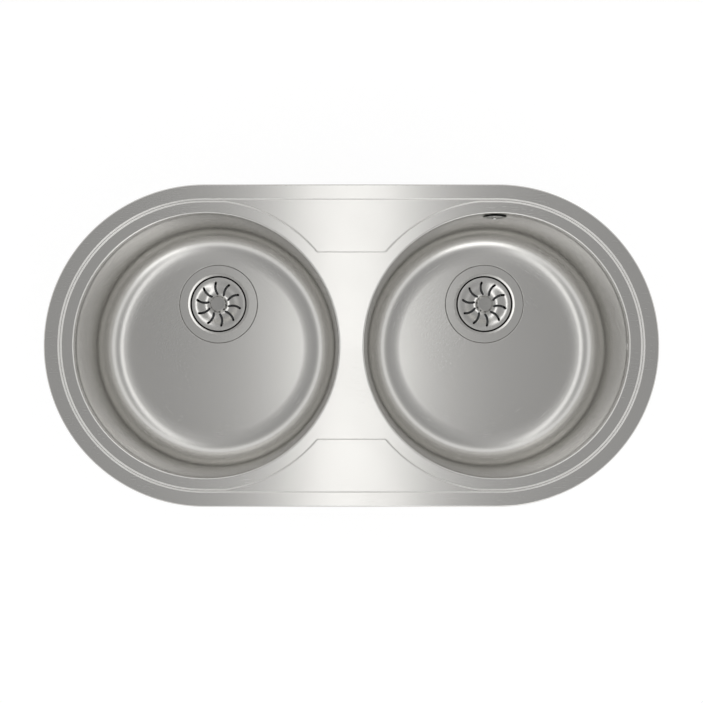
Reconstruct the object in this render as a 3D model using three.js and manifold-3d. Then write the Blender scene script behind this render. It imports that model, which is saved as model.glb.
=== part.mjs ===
// Inset kitchen sink with two round bowls, pressed from stainless sheet, with its strainer wastes,
// overflow and worktop clips. Millimetres, +Z up. The origin is the middle of the sink on the
// worktop's face, +X runs along the sink to the right and +Y to the back.

import * as THREE from 'three';
import { mergeVertices } from 'three/addons/utils/BufferGeometryUtils.js';
import Module from 'manifold-3d';

const wasm = await Module();
wasm.setup();

// ---------------------------------------------------------------- driving dimensions

// General
const SHEET = 0.8; // pressed stainless sheet
const GAP = 0.3; // between pieces that are fitted but not pressed together
const WIDE_SIDES = 48; // sides of the large rounds
const ROUND_SIDES = 24; // sides of the strainer rounds
const SMALL_SIDES = 16; // sides of tubes, nuts and bosses
const SCREW_SIDES = 8; // sides of small screws

// Plan of the pressing, worked out from the bowls to the edge
const BOWL_RADIUS = 180; // at the mouth
const BRIDGE_WIDTH = 32; // between the two mouths
const SURROUND_WIDTH = 16; // low ring round each mouth
const SURROUND_END_WIDTH = 14.5; // the low ring's width at the sink's ends
const LEDGE_WIDTH = 3; // between the low ring and the raised rim at the sink's ends
const RIM_OUTSET = 1.5; // the rim's end arcs stand this much further out than the bowls
const RIM_WIDTH = 20; // raised rim
const BRIDGE_HALF_LENGTH = 126.5; // low bridge between the bowls, from the middle to its step

// Levels of the pressing above the worktop
const RIM_HEIGHT = 6;
const STEP_DROP = 1.8; // from the rim to the tap deck, and from there to the bowl surround
const EDGE_CLEARANCE = 0.3; // turned-down edge above the worktop
const COLLAR_DROP = 4; // the collar of each mouth reaches this far below the worktop's face

// Bowls
const BOWL_DEPTH = 180; // floor below the worktop's face
const BOWL_CORNER_RADIUS = 40; // between wall and floor
const WALL_DRAFT = THREE.MathUtils.degToRad(3);
const CORNER_STEPS = 5;
const DRAIN_TO_MOUTH = 116; // from the drain's axis to the back of the mouth
const PAD_LENGTH = 150;
const PAD_WIDTH = 70;
const PAD_THICKNESS = 3;
const PAD_OFFSET = -45; // pad's middle from the bowl's centre

// Rim seal
const SEAL_INSET = 2; // from the turned-down edge
const SEAL_WIDTH = 7;

// Strainer, measured from the bowl's floor
const CUP_RADIUS = 41.35;
const FLANGE_LIP = 15.65; // the flange stands this much further out than the cup's inside
const FLANGE_SHEET = 1.2;
const FLANGE_GASKET = 1.6;
const FLANGE_BEAD_HEIGHT = 0.8;
const FLANGE_BEAD_WIDTH = 3.15;
const DRAIN_CLEARANCE = 3.65; // between the cup's inside and the hole in the bowl
const CUP_SEAT_TOP = -16;
const CUP_SEAT_DROP = 5;
const CUP_SEAT_WIDTH = 8.35;
const CUP_FLOOR = -30.8;
const CUP_HOLE_COUNT = 6;
const CUP_HOLE_RADIUS = 6.5;
const CUP_HOLE_PITCH = 20;
const RECESS_CLEARANCE = 0.5;
const GASKET_INSET = 1;

// Basket
const PLATE_CLEARANCE = 2.1; // between the plate and the cup
const PLATE_SHEET = 1;
const PLATE_EDGE_LEVEL = -1.2;
const PLATE_CENTRE_LEVEL = -5.5;
const PLATE_SAG = 5.5;
const PLATE_STEPS = 4;
const SLOT_COUNT = 10;
const SLOT_WIDTH = 2.1;
const SLOT_INNER_RADIUS = 15.4;
const SLOT_OUTER_RADIUS = 33.6;
const SLOT_PHASE = THREE.MathUtils.degToRad(97);
const SLOT_BULGE = 4;
const KNOB_RADIUS = 12.9; // at the plate
const KNOB_TOP_RADIUS = 10.8;
const KNOB_HEIGHT = 13;
const KNOB_CHAMFER = 1;
const STEM_RADIUS = 5;
const STEM_REACH = 9; // up into the knob
const STEM_COLLAR_RADIUS = 9;
const STEM_COLLAR_HEIGHT = 3;
const SEAL_WIDTH_ON_SEAT = 3; // the seal's flat part, round the stem's disc
const STEM_DISC_TOP = -17;
const STEM_DISC_THICKNESS = 3;
const PEG_RADIUS = 4;
const PEG_LENGTH = 8.5;
const SEAL_LIP_THICKNESS = 1.2;

// Clamp screw between the cup and the waste body
const CLAMP_HEAD_RADIUS = 9;
const CLAMP_HEAD_HEIGHT = 8;
const CLAMP_SOCKET_DEPTH = 7;
const CLAMP_SHANK_RADIUS = 4;
const CLAMP_SHANK_LENGTH = 29;

// Waste body
const WASTE_GASKET = 2;
const WASTE_FLANGE_WIDTH = 10;
const WASTE_FLANGE_THICKNESS = 4;
const WASTE_CLEARANCE = 2.65; // between the cup's inside and the waste body's inside
const WASTE_WALL = 3;
const WASTE_DEPTH = 46; // straight part below its flange's top
const WASTE_TAPER = 14;
const SPIGOT_RADIUS = 23.9; // outlet thread, 1 1/2 inch
const SPIGOT_LENGTH = 28;
const BOSS_RADIUS = 8;
const BOSS_TOP = -40;
const BOSS_HEIGHT = 24;
const RIB_COUNT = 3;
const RIB_WIDTH = 3;
const RIB_TOP = -44;
const RIB_HEIGHT = 10;
const NUT_WALL = 5.5;
const NUT_HEIGHT = 20;
const NUT_LIP = 3.7;
const NUT_BORE = 21;
const NUT_LUGS = 6;
const NUT_LUG_SIZE = 3;

// Overflow, in the right bowl's back wall, and its pipe
const OVERFLOW_DEPTH = 25; // below the worktop's face
const OVERFLOW_HOLE_RADIUS = 12;
const ROSETTE_RADIUS = 16.5;
const ROSETTE_THICKNESS = 2.6;
const ROSETTE_SLOTS = 6;
const ROSETTE_SLOT_RADIUS = 1.9;
const ROSETTE_SLOT_PITCH = 8.6;
const OVERFLOW_GASKET = 3.5;
const ELBOW_FLANGE_RADIUS = 19;
const ELBOW_FLANGE_THICKNESS = 3;
const ELBOW_BARREL_RADIUS = 12;
const ELBOW_WALL = 2;
const ELBOW_BACK = 22; // from the bowl's wall to the elbow's back
const ELBOW_DROP = 32; // from the overflow's axis to the elbow's mouth
const OVERFLOW_SCREW_RADIUS = 2;
const OVERFLOW_SCREW_HEAD = 4;
const PIPE_RADIUS = 7.5;
const PIPE_WALL = 1.5;
const PIPE_OFFSET = 13.7; // pipe's axis from the bowl's wall
const PIPE_BEND_RADIUS = 44;
const PIPE_INSERT = 10; // inside the elbow and the inlet
const PIPE_SIDES = 8;
const PIPE_STEPS = 14;
const TUBE_WALL = 1.7; // of the elbow's mouth and of the waste's side inlet
const INLET_DROP = 44; // side inlet's axis below the bowl's floor
const INLET_LENGTH = 31; // side inlet's mouth from the waste body's inside
const PIPE_NUT_WALL = 1.5;
const PIPE_NUT_LENGTH = 14;
const PIPE_NUT_OVERLAP = 8;
const CAP_END = 2.7;

// Worktop clips
const CLIP_INSET = 23; // screw's axis from the sink's edge
const CLIP_STRAIGHT_X = 110; // clips on the long sides
const CLIP_END_ANGLE = THREE.MathUtils.degToRad(40); // clips on the ends
const BRACKET_LENGTH = 24;
const BRACKET_SHEET = 1.5;
const BRACKET_LEG = 5; // from the screw's axis
const BRACKET_TOP_WIDTH = 7;
const BRACKET_FOOT_BACK = 8;
const BRACKET_FOOT_LEVEL = -16;
const WELD_NUT_RADIUS = 5.5;
const WELD_NUT_HEIGHT = 5.5;
const CLIP_SCREW_RADIUS = 2.5;
const CLIP_SCREW_TOP = -14.5;
const CLIP_SHOULDER_RADIUS = 4.2;
const CLIP_SHOULDER_HEIGHT = 1.5;
const CLIP_FLANGE_RADIUS = 6;
const CLIP_FLANGE_HEIGHT = 1.5;
const CLIP_HEAD_RADIUS = 4.5;
const CLIP_HEAD_HEIGHT = 3.5;
const CLAW_LEVEL = -50; // underside of the claw's arm
const CLAW_SHEET = 2.5;
const CLAW_WIDTH = 12;
const CLAW_BACK = 7;
const CLAW_REACH = 20;
const CLAW_TIP_HEIGHT = 8;

// ---------------------------------------------------------------- derived places

const BOWL_X = BOWL_RADIUS + BRIDGE_WIDTH / 2;
const SURROUND_RADIUS = BOWL_RADIUS + SURROUND_WIDTH;
const SURROUND_END_RADIUS = BOWL_RADIUS + SURROUND_END_WIDTH;
const RIM_INNER_RADIUS = SURROUND_END_RADIUS + LEDGE_WIDTH;
const END_RADIUS = RIM_INNER_RADIUS + RIM_WIDTH;
const END_X = BOWL_X + RIM_OUTSET;
const DECK_LEVEL = RIM_HEIGHT - STEP_DROP;
const SURROUND_LEVEL = DECK_LEVEL - STEP_DROP;
const DRAIN_SETBACK = BOWL_RADIUS - DRAIN_TO_MOUTH;
const DRAIN_HOLE_RADIUS = CUP_RADIUS + DRAIN_CLEARANCE;
const FLANGE_RADIUS = CUP_RADIUS + FLANGE_LIP;
const CUP_SEAT_RADIUS = CUP_RADIUS - CUP_SEAT_WIDTH;
const PLATE_RADIUS = CUP_RADIUS - PLATE_CLEARANCE;
const STEM_DISC_RADIUS = CUP_SEAT_RADIUS - SEAL_WIDTH_ON_SEAT;
const WASTE_INNER_RADIUS = CUP_RADIUS + WASTE_CLEARANCE;
const WASTE_FLANGE_RADIUS = WASTE_INNER_RADIUS + WASTE_FLANGE_WIDTH;
const INLET_REACH = WASTE_INNER_RADIUS + INLET_LENGTH;
const RECESS_DEPTH = FLANGE_SHEET + FLANGE_GASKET;
const RECESS_RADIUS = FLANGE_RADIUS + RECESS_CLEARANCE;
const CUP_SEAT_LEVEL = CUP_SEAT_TOP - CUP_SEAT_DROP;
const WASTE_GASKET_TOP = -RECESS_DEPTH - SHEET;
const WASTE_TOP = WASTE_GASKET_TOP - WASTE_GASKET;
const WASTE_TAPER_TOP = WASTE_TOP - WASTE_DEPTH;
const SPIGOT_TOP = WASTE_TAPER_TOP - WASTE_TAPER;
const SPIGOT_END = SPIGOT_TOP - SPIGOT_LENGTH;
const SPIGOT_BORE = SPIGOT_RADIUS - WASTE_WALL;
const TUBE_BORE = PIPE_RADIUS + GAP;
const TUBE_RADIUS = TUBE_BORE + TUBE_WALL;
const WALL_OUTSIDE = BOWL_RADIUS + SHEET;
const OVERFLOW_WALL = BOWL_RADIUS - (OVERFLOW_DEPTH - COLLAR_DROP) * Math.tan(WALL_DRAFT);
const ROSETTE_FACE = OVERFLOW_WALL - GAP - ROSETTE_THICKNESS;
const PIPE_Y = WALL_OUTSIDE + PIPE_OFFSET;
const ELBOW_FACE_Y = WALL_OUTSIDE + OVERFLOW_GASKET;
const OVERSIZE = 5; // how far a cutting tool stands past what it cuts
const MERGE_DISTANCE = 1e-4;

// ---------------------------------------------------------------- making solids

/** Six times the volume inside a triangle list, negative where its faces point in. */
function signedVolume(corners, triangles) {
  const [a, b, c] = [new THREE.Vector3(), new THREE.Vector3(), new THREE.Vector3()];
  let volume = 0;
  for (let i = 0; i < triangles.length; i += 3) {
    a.fromArray(corners, 3 * triangles[i]);
    b.fromArray(corners, 3 * triangles[i + 1]);
    c.fromArray(corners, 3 * triangles[i + 2]);
    volume += a.dot(b.cross(c));
  }
  return volume;
}

/** A closed geometry as a solid: shared corners merged, no empty faces, all faces pointing out. */
function solid(geometry) {
  geometry.deleteAttribute('normal');
  geometry.deleteAttribute('uv');
  const merged = mergeVertices(geometry, MERGE_DISTANCE);
  const corners = new Float32Array(merged.attributes.position.array);
  const source = merged.index.array;
  const triangles = [];
  for (let i = 0; i < source.length; i += 3) {
    const [a, b, c] = [source[i], source[i + 1], source[i + 2]];
    if (a !== b && b !== c && c !== a) triangles.push(a, b, c);
  }
  if (signedVolume(corners, triangles) < 0) triangles.reverse();
  const mesh = new wasm.Mesh({
    numProp: 3,
    vertProperties: corners,
    triVerts: new Uint32Array(triangles),
  });
  return new wasm.Manifold(mesh);
}

/** A block between two corners. */
function block(low, high) {
  const size = high.map((value, i) => value - low[i]);
  const middle = high.map((value, i) => (value + low[i]) / 2);
  return solid(new THREE.BoxGeometry(...size).translate(...middle));
}

/** An upright round rod between two levels. */
function rod(radius, bottom, top, sides = SMALL_SIDES, x = 0, y = 0) {
  const geometry = new THREE.CylinderGeometry(radius, radius, top - bottom, sides);
  return solid(geometry.rotateX(Math.PI / 2).translate(x, y, (top + bottom) / 2));
}

/** A round rod along Y, between two distances from the middle. */
function crossRod(radius, near, far, z, sides = SMALL_SIDES) {
  const geometry = new THREE.CylinderGeometry(radius, radius, far - near, sides);
  return solid(geometry.translate(0, (near + far) / 2, z));
}

/** A profile of [radius, level] pairs turned about Z. A profile off the axis is closed first. */
function turned(profile, sides = ROUND_SIDES) {
  const points = profile.map(([radius, level]) => new THREE.Vector2(radius, level));
  if (points[0].x > 0) points.push(points[0].clone());
  return solid(new THREE.LatheGeometry(points, sides).rotateX(Math.PI / 2));
}

/** A flat ring between two radii and two levels. */
function ring(inner, outer, bottom, top, sides = ROUND_SIDES) {
  return turned([[inner, bottom], [outer, bottom], [outer, top], [inner, top]], sides);
}

/** An upright prism of a flat shape. */
function prism(shape, bottom, top, curveSegments = 8) {
  const options = { depth: top - bottom, bevelEnabled: false, curveSegments };
  return solid(new THREE.ExtrudeGeometry(shape, options).translate(0, 0, bottom));
}

/** An upright block with two half-round ends, about the end centres of the rim. */
function stadium(radius, bottom, top) {
  const shape = new THREE.Shape();
  shape.absarc(END_X, 0, radius, -Math.PI / 2, Math.PI / 2);
  shape.absarc(-END_X, 0, radius, Math.PI / 2, 1.5 * Math.PI);
  return prism(shape, bottom, top, WIDE_SIDES / 4);
}

/** A named mesh of a solid in its own material. */
function piece(name, shape, material, parent) {
  const { vertProperties, triVerts } = shape.getMesh();
  const geometry = new THREE.BufferGeometry();
  geometry.setAttribute('position', new THREE.BufferAttribute(vertProperties, 3));
  geometry.setIndex(new THREE.BufferAttribute(triVerts, 1));
  geometry.computeVertexNormals();
  const mesh = new THREE.Mesh(geometry, new THREE.MeshStandardMaterial(material));
  mesh.name = name;
  parent.add(mesh);
}

// ---------------------------------------------------------------- materials

const BRUSHED_STEEL = { color: 0xb4b3ae, roughness: 0.38, metalness: 1 };
const POLISHED_STEEL = { color: 0xc4c3bf, roughness: 0.2, metalness: 1 };
const ZINC_STEEL = { color: 0xb9bcc0, roughness: 0.45, metalness: 1 };
const BLACK_RUBBER = { color: 0x1d1d1e, roughness: 0.85, metalness: 0 };
const GREY_FOAM = { color: 0x5a5b5d, roughness: 0.95, metalness: 0 };
const WHITE_PLASTIC = { color: 0xe6e6e2, roughness: 0.5, metalness: 0 };
const GREY_PLASTIC = { color: 0x8d9092, roughness: 0.55, metalness: 0 };

// ---------------------------------------------------------------- deck

/**
 * The low area round both mouths and the bridge between them, grown by an offset. The discs are cut
 * off by the ledge that stays inside the rim.
 */
function surroundBlock(offset, bottom, top) {
  const radius = SURROUND_RADIUS + offset;
  const halfLength = BRIDGE_HALF_LENGTH + offset;
  return rod(radius, bottom, top, WIDE_SIDES, BOWL_X)
    .add(rod(radius, bottom, top, WIDE_SIDES, -BOWL_X))
    .add(block([-BOWL_X, -halfLength, bottom], [BOWL_X, halfLength, top]))
    .intersect(stadium(SURROUND_END_RADIUS + offset, bottom, top));
}

/** Everything below the pressing's top surface moved in by an inset, down to the collars' end. */
function pressedBlock(inset) {
  const top = RIM_HEIGHT + OVERSIZE;
  const bottom = -COLLAR_DROP - inset;
  const mouth = (x) => rod(BOWL_RADIUS + inset, bottom - OVERSIZE, top, WIDE_SIDES, x);
  return stadium(END_RADIUS - inset, bottom, RIM_HEIGHT - inset)
    .subtract(stadium(RIM_INNER_RADIUS + inset, DECK_LEVEL - inset, top))
    .subtract(surroundBlock(inset, SURROUND_LEVEL - inset, top))
    .subtract(mouth(BOWL_X))
    .subtract(mouth(-BOWL_X));
}

/** One pressing: turned-down edge, rim, tap deck, low surround and the collars of both mouths. */
function makeDeck() {
  const belowEdge = stadium(END_RADIUS + OVERSIZE, -COLLAR_DROP - OVERSIZE, EDGE_CLEARANCE)
    .subtract(stadium(RIM_INNER_RADIUS, -COLLAR_DROP - 2 * OVERSIZE, RIM_HEIGHT));
  return pressedBlock(0).subtract(pressedBlock(SHEET)).subtract(belowEdge);
}

/** Foam strip between the rim and the worktop, just inside the turned-down edge. */
function makeRimSeal() {
  const outer = END_RADIUS - SHEET - SEAL_INSET;
  const top = RIM_HEIGHT - SHEET;
  return stadium(outer, 0, top)
    .subtract(stadium(outer - SEAL_WIDTH, -OVERSIZE, top + OVERSIZE));
}

// ---------------------------------------------------------------- bowls

/** Half profile of the bowl's inside, or of its outside, from the axis up to the collar. */
function bowlProfile(thickness) {
  const top = -COLLAR_DROP;
  const centreZ = -BOWL_DEPTH + BOWL_CORNER_RADIUS;
  const tangentZ = centreZ - BOWL_CORNER_RADIUS * Math.sin(WALL_DRAFT);
  const centreR = BOWL_RADIUS - (top - tangentZ) * Math.tan(WALL_DRAFT)
    - BOWL_CORNER_RADIUS * Math.cos(WALL_DRAFT);
  const radius = BOWL_CORNER_RADIUS + thickness;
  const profile = [[0, -BOWL_DEPTH - thickness]];
  for (let i = 0; i <= CORNER_STEPS; i += 1) {
    const angle = -Math.PI / 2 + (Math.PI / 2 - WALL_DRAFT) * (i / CORNER_STEPS);
    profile.push([centreR + radius * Math.cos(angle), centreZ + radius * Math.sin(angle)]);
  }
  profile.push([BOWL_RADIUS + thickness, top]);
  return profile;
}

/** A bowl about its own centre, with the recess and hole for the strainer. */
function makeBowl() {
  const shell = turned([...bowlProfile(0), ...bowlProfile(SHEET).reverse()], WIDE_SIDES);
  const floor = -BOWL_DEPTH;
  const recessFloor = floor - RECESS_DEPTH;
  const drain = (radius, bottom, top) => rod(radius, bottom, top, ROUND_SIDES, 0, DRAIN_SETBACK);
  return shell
    .add(drain(RECESS_RADIUS + SHEET, recessFloor - SHEET, floor))
    .subtract(drain(RECESS_RADIUS, recessFloor, floor + OVERSIZE))
    .subtract(drain(DRAIN_HOLE_RADIUS, recessFloor - OVERSIZE, floor));
}

/** Everything inside the bowl's inner face moved out by an offset, up to the collar. */
function bowlSpace(offset) {
  return turned([...bowlProfile(offset), [0, -COLLAR_DROP]], WIDE_SIDES);
}

/** The hole through a bowl's back wall for the overflow. */
function overflowHole() {
  const near = OVERFLOW_WALL - OVERSIZE;
  return crossRod(OVERFLOW_HOLE_RADIUS, near, WALL_OUTSIDE + OVERSIZE, -OVERFLOW_DEPTH);
}

/** Damping pad stuck under a bowl's floor, in front of the drain. */
function makeSoundPad() {
  const top = -BOWL_DEPTH - SHEET;
  return block(
    [-PAD_LENGTH / 2, PAD_OFFSET - PAD_WIDTH / 2, top - PAD_THICKNESS],
    [PAD_LENGTH / 2, PAD_OFFSET + PAD_WIDTH / 2, top],
  );
}

// ---------------------------------------------------------------- strainer and waste

/** Flange and cup of the strainer, with its seat, and the bottom that the clamp screw pulls on. */
function makeStrainerFlange() {
  const bead = CUP_RADIUS + FLANGE_BEAD_WIDTH;
  const wall = CUP_RADIUS + FLANGE_SHEET;
  const seatWall = CUP_SEAT_RADIUS + FLANGE_SHEET;
  const underside = CUP_FLOOR - FLANGE_SHEET;
  let cup = turned([
    [0, CUP_FLOOR],
    [CUP_SEAT_RADIUS, CUP_FLOOR],
    [CUP_SEAT_RADIUS, CUP_SEAT_LEVEL],
    [CUP_RADIUS, CUP_SEAT_TOP],
    [CUP_RADIUS, 0],
    [CUP_RADIUS + FLANGE_SHEET / 2, FLANGE_BEAD_HEIGHT],
    [bead - FLANGE_SHEET / 2, FLANGE_BEAD_HEIGHT],
    [bead, 0],
    [FLANGE_RADIUS, 0],
    [FLANGE_RADIUS, -FLANGE_SHEET],
    [wall, -FLANGE_SHEET],
    [wall, CUP_SEAT_TOP - FLANGE_SHEET],
    [seatWall, CUP_SEAT_LEVEL - FLANGE_SHEET],
    [seatWall, underside],
    [0, underside],
  ]);
  const bottom = underside - OVERSIZE;
  const top = CUP_FLOOR + OVERSIZE;
  cup = cup.subtract(rod(CLAMP_SHANK_RADIUS + GAP, bottom, top));
  for (let i = 0; i < CUP_HOLE_COUNT; i += 1) {
    const angle = (2 * Math.PI * i) / CUP_HOLE_COUNT;
    const [x, y] = [CUP_HOLE_PITCH * Math.cos(angle), CUP_HOLE_PITCH * Math.sin(angle)];
    cup = cup.subtract(rod(CUP_HOLE_RADIUS, bottom, top, SCREW_SIDES, x, y));
  }
  return cup;
}

/** Ring under the strainer's flange. */
function makeStrainerGasket() {
  const outer = FLANGE_RADIUS - GASKET_INSET;
  return ring(DRAIN_HOLE_RADIUS + GASKET_INSET, outer, -RECESS_DEPTH, -FLANGE_SHEET);
}

/** Ring between the bowl's underside and the waste body. */
function makeWasteGasket() {
  return ring(DRAIN_HOLE_RADIUS + GASKET_INSET, WASTE_FLANGE_RADIUS, WASTE_TOP, WASTE_GASKET_TOP);
}

/** Moulded body under the strainer: cup, taper, side inlet and ribbed boss. */
function makeWasteBody() {
  const wall = WASTE_INNER_RADIUS + WASTE_WALL;
  const flangeUnder = WASTE_TOP - WASTE_FLANGE_THICKNESS;
  const outside = turned([
    [0, SPIGOT_TOP],
    [SPIGOT_RADIUS, SPIGOT_TOP],
    [wall, WASTE_TAPER_TOP],
    [wall, flangeUnder],
    [WASTE_FLANGE_RADIUS, flangeUnder],
    [WASTE_FLANGE_RADIUS, WASTE_TOP],
    [0, WASTE_TOP],
  ]);
  const inside = turned([
    [0, SPIGOT_TOP - OVERSIZE],
    [SPIGOT_BORE, SPIGOT_TOP - OVERSIZE],
    [SPIGOT_BORE, SPIGOT_TOP],
    [WASTE_INNER_RADIUS, WASTE_TAPER_TOP],
    [WASTE_INNER_RADIUS, WASTE_TOP + OVERSIZE],
    [0, WASTE_TOP + OVERSIZE],
  ]);
  const bore = crossRod(TUBE_BORE, 0, INLET_REACH + OVERSIZE, -INLET_DROP);
  const inlet = crossRod(TUBE_RADIUS, 0, INLET_REACH, -INLET_DROP);
  let spider = rod(BOSS_RADIUS, BOSS_TOP - BOSS_HEIGHT, BOSS_TOP);
  for (let i = 0; i < RIB_COUNT; i += 1) {
    const rib = new THREE.BoxGeometry(WASTE_INNER_RADIUS, RIB_WIDTH, RIB_HEIGHT);
    rib.translate(WASTE_INNER_RADIUS / 2, 0, RIB_TOP - RIB_HEIGHT / 2);
    spider = spider.add(solid(rib.rotateZ(-Math.PI / 2 + (2 * Math.PI * i) / RIB_COUNT)));
  }
  const screwWay = rod(CLAMP_SHANK_RADIUS + GAP, SPIGOT_TOP, WASTE_TOP);
  return outside.add(inlet).subtract(inside).subtract(bore).add(spider).subtract(screwWay);
}

/** Outlet spigot, welded under the waste body. */
function makeWasteSpigot() {
  return ring(SPIGOT_BORE, SPIGOT_RADIUS, SPIGOT_END, SPIGOT_TOP);
}

/** Screw that pulls the cup and the waste body together, with a socket for the basket's peg. */
function makeClampScrew() {
  const top = CUP_FLOOR + CLAMP_HEAD_HEIGHT;
  const socketFloor = top - CLAMP_SOCKET_DEPTH;
  return turned([
    [0, CUP_FLOOR - CLAMP_SHANK_LENGTH],
    [CLAMP_SHANK_RADIUS, CUP_FLOOR - CLAMP_SHANK_LENGTH],
    [CLAMP_SHANK_RADIUS, CUP_FLOOR],
    [CLAMP_HEAD_RADIUS, CUP_FLOOR],
    [CLAMP_HEAD_RADIUS, top],
    [PEG_RADIUS + GAP, top],
    [PEG_RADIUS + GAP, socketFloor],
    [0, socketFloor],
  ], SMALL_SIDES);
}

/** Coupling nut on the outlet, with lugs to grip and a lip that carries the trap's washer. */
function makeOutletNut() {
  const inner = SPIGOT_RADIUS + GAP;
  const outer = inner + NUT_WALL;
  const lipTop = SPIGOT_END - GAP;
  const bottom = lipTop - NUT_LIP;
  const top = bottom + NUT_HEIGHT;
  let nut = turned([
    [NUT_BORE, bottom],
    [outer, bottom],
    [outer, top],
    [inner, top],
    [inner, lipTop],
    [NUT_BORE, lipTop],
  ]);
  for (let i = 0; i < NUT_LUGS; i += 1) {
    const lug = new THREE.BoxGeometry(2 * NUT_LUG_SIZE, NUT_LUG_SIZE, NUT_HEIGHT);
    lug.translate(outer, 0, bottom + NUT_HEIGHT / 2);
    nut = nut.add(solid(lug.rotateZ((2 * Math.PI * i) / NUT_LUGS)));
  }
  return nut;
}

// ---------------------------------------------------------------- basket

/** The dished plate's surface, from the knob to the edge, moved down by a drop. */
function plateProfile(drop) {
  const profile = [];
  for (let i = 0; i <= PLATE_STEPS; i += 1) {
    const t = i / PLATE_STEPS;
    const radius = THREE.MathUtils.lerp(KNOB_RADIUS, PLATE_RADIUS, t);
    const chord = THREE.MathUtils.lerp(PLATE_CENTRE_LEVEL, PLATE_EDGE_LEVEL, t);
    profile.push([radius, chord - PLATE_SAG * 4 * t * (1 - t) - drop]);
  }
  return profile;
}

/** One curved slot of the strainer plate, as a flat shape. */
function slotShape(turn) {
  const end = (radius) => new THREE.Vector2(
    radius * Math.cos(SLOT_PHASE + turn),
    radius * Math.sin(SLOT_PHASE + turn),
  );
  const inner = end(SLOT_INNER_RADIUS);
  const outer = end(SLOT_OUTER_RADIUS);
  const along = outer.clone().sub(inner).normalize();
  const side = new THREE.Vector2(-along.y, along.x);
  const middle = inner.clone().add(outer).multiplyScalar(0.5).addScaledVector(side, SLOT_BULGE);
  const shifted = (point, sign) => point.clone().addScaledVector(side, (sign * SLOT_WIDTH) / 2);
  const shape = new THREE.Shape();
  shape.moveTo(...shifted(inner, 1).toArray());
  shape.quadraticCurveTo(...shifted(middle, 1).toArray(), ...shifted(outer, 1).toArray());
  shape.lineTo(...shifted(outer, -1).toArray());
  shape.quadraticCurveTo(...shifted(middle, -1).toArray(), ...shifted(inner, -1).toArray());
  return shape;
}

/** Dished strainer plate with curved slots. */
function makeBasketPlate() {
  const hole = STEM_RADIUS + GAP;
  let plate = turned([
    [hole, PLATE_CENTRE_LEVEL],
    ...plateProfile(0),
    ...plateProfile(PLATE_SHEET).reverse(),
    [hole, PLATE_CENTRE_LEVEL - PLATE_SHEET],
  ]);
  const bottom = PLATE_CENTRE_LEVEL - PLATE_SAG - 2 * PLATE_SHEET;
  for (let i = 0; i < SLOT_COUNT; i += 1) {
    plate = plate.subtract(prism(slotShape((2 * Math.PI * i) / SLOT_COUNT), bottom, 0, 3));
  }
  return plate;
}

/** Round knob on the plate, with a blind hole for the stem. */
function makeBasketKnob() {
  const bottom = PLATE_CENTRE_LEVEL;
  const top = bottom + KNOB_HEIGHT;
  const ceiling = bottom + STEM_REACH + GAP;
  return turned([
    [0, ceiling],
    [STEM_RADIUS + GAP, ceiling],
    [STEM_RADIUS + GAP, bottom],
    [KNOB_RADIUS, bottom],
    [KNOB_TOP_RADIUS, top - KNOB_CHAMFER],
    [KNOB_TOP_RADIUS - KNOB_CHAMFER, top],
    [0, top],
  ], SMALL_SIDES);
}

/** Stem of the basket: column into the knob, collar under the plate, seal disc and peg. */
function makeBasketStem() {
  const plateUnder = PLATE_CENTRE_LEVEL - PLATE_SHEET;
  const discUnder = STEM_DISC_TOP - STEM_DISC_THICKNESS;
  return turned([
    [0, discUnder - PEG_LENGTH],
    [PEG_RADIUS, discUnder - PEG_LENGTH],
    [PEG_RADIUS, discUnder],
    [STEM_DISC_RADIUS, discUnder],
    [STEM_DISC_RADIUS, STEM_DISC_TOP],
    [STEM_RADIUS, STEM_DISC_TOP],
    [STEM_RADIUS, plateUnder - STEM_COLLAR_HEIGHT],
    [STEM_COLLAR_RADIUS, plateUnder - STEM_COLLAR_HEIGHT],
    [STEM_COLLAR_RADIUS, plateUnder],
    [STEM_RADIUS, plateUnder],
    [STEM_RADIUS, PLATE_CENTRE_LEVEL + STEM_REACH],
    [0, PLATE_CENTRE_LEVEL + STEM_REACH],
  ], SMALL_SIDES);
}

/** Rubber ring round the stem's disc, with a lip that lies on the cup's seat. */
function makeBasketSeal() {
  const slope = CUP_SEAT_DROP / (CUP_RADIUS - CUP_SEAT_RADIUS);
  const clear = GAP * Math.hypot(1, slope);
  const inner = STEM_DISC_RADIUS + GAP;
  const lip = CUP_RADIUS - 3 * GAP;
  const seatAt = (radius) => CUP_SEAT_LEVEL + (radius - CUP_SEAT_RADIUS) * slope + clear;
  const root = seatAt(CUP_SEAT_RADIUS);
  return turned([
    [inner, root],
    [CUP_SEAT_RADIUS, root],
    [lip, seatAt(lip)],
    [lip, seatAt(lip) + SEAL_LIP_THICKNESS],
    [inner, Math.max(STEM_DISC_TOP, root + SEAL_LIP_THICKNESS)],
  ]);
}

// ---------------------------------------------------------------- overflow

/** Slotted cover inside the bowl, curved at its back to the bowl's wall. */
function makeRosette() {
  const far = BOWL_RADIUS + OVERSIZE;
  const hole = OVERFLOW_SCREW_RADIUS + GAP;
  let cover = crossRod(ROSETTE_RADIUS, ROSETTE_FACE, far, -OVERFLOW_DEPTH)
    .intersect(bowlSpace(-GAP))
    .subtract(crossRod(hole, ROSETTE_FACE - OVERSIZE, far, -OVERFLOW_DEPTH, SCREW_SIDES));
  for (let i = 0; i < ROSETTE_SLOTS; i += 1) {
    const geometry = new THREE.CylinderGeometry(
      ROSETTE_SLOT_RADIUS,
      ROSETTE_SLOT_RADIUS,
      4 * OVERSIZE,
      SCREW_SIDES,
    );
    geometry.translate(ROSETTE_SLOT_PITCH, BOWL_RADIUS, 0).rotateY((2 * Math.PI * i) / ROSETTE_SLOTS);
    cover = cover.subtract(solid(geometry.translate(0, 0, -OVERFLOW_DEPTH)));
  }
  return cover;
}

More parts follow.
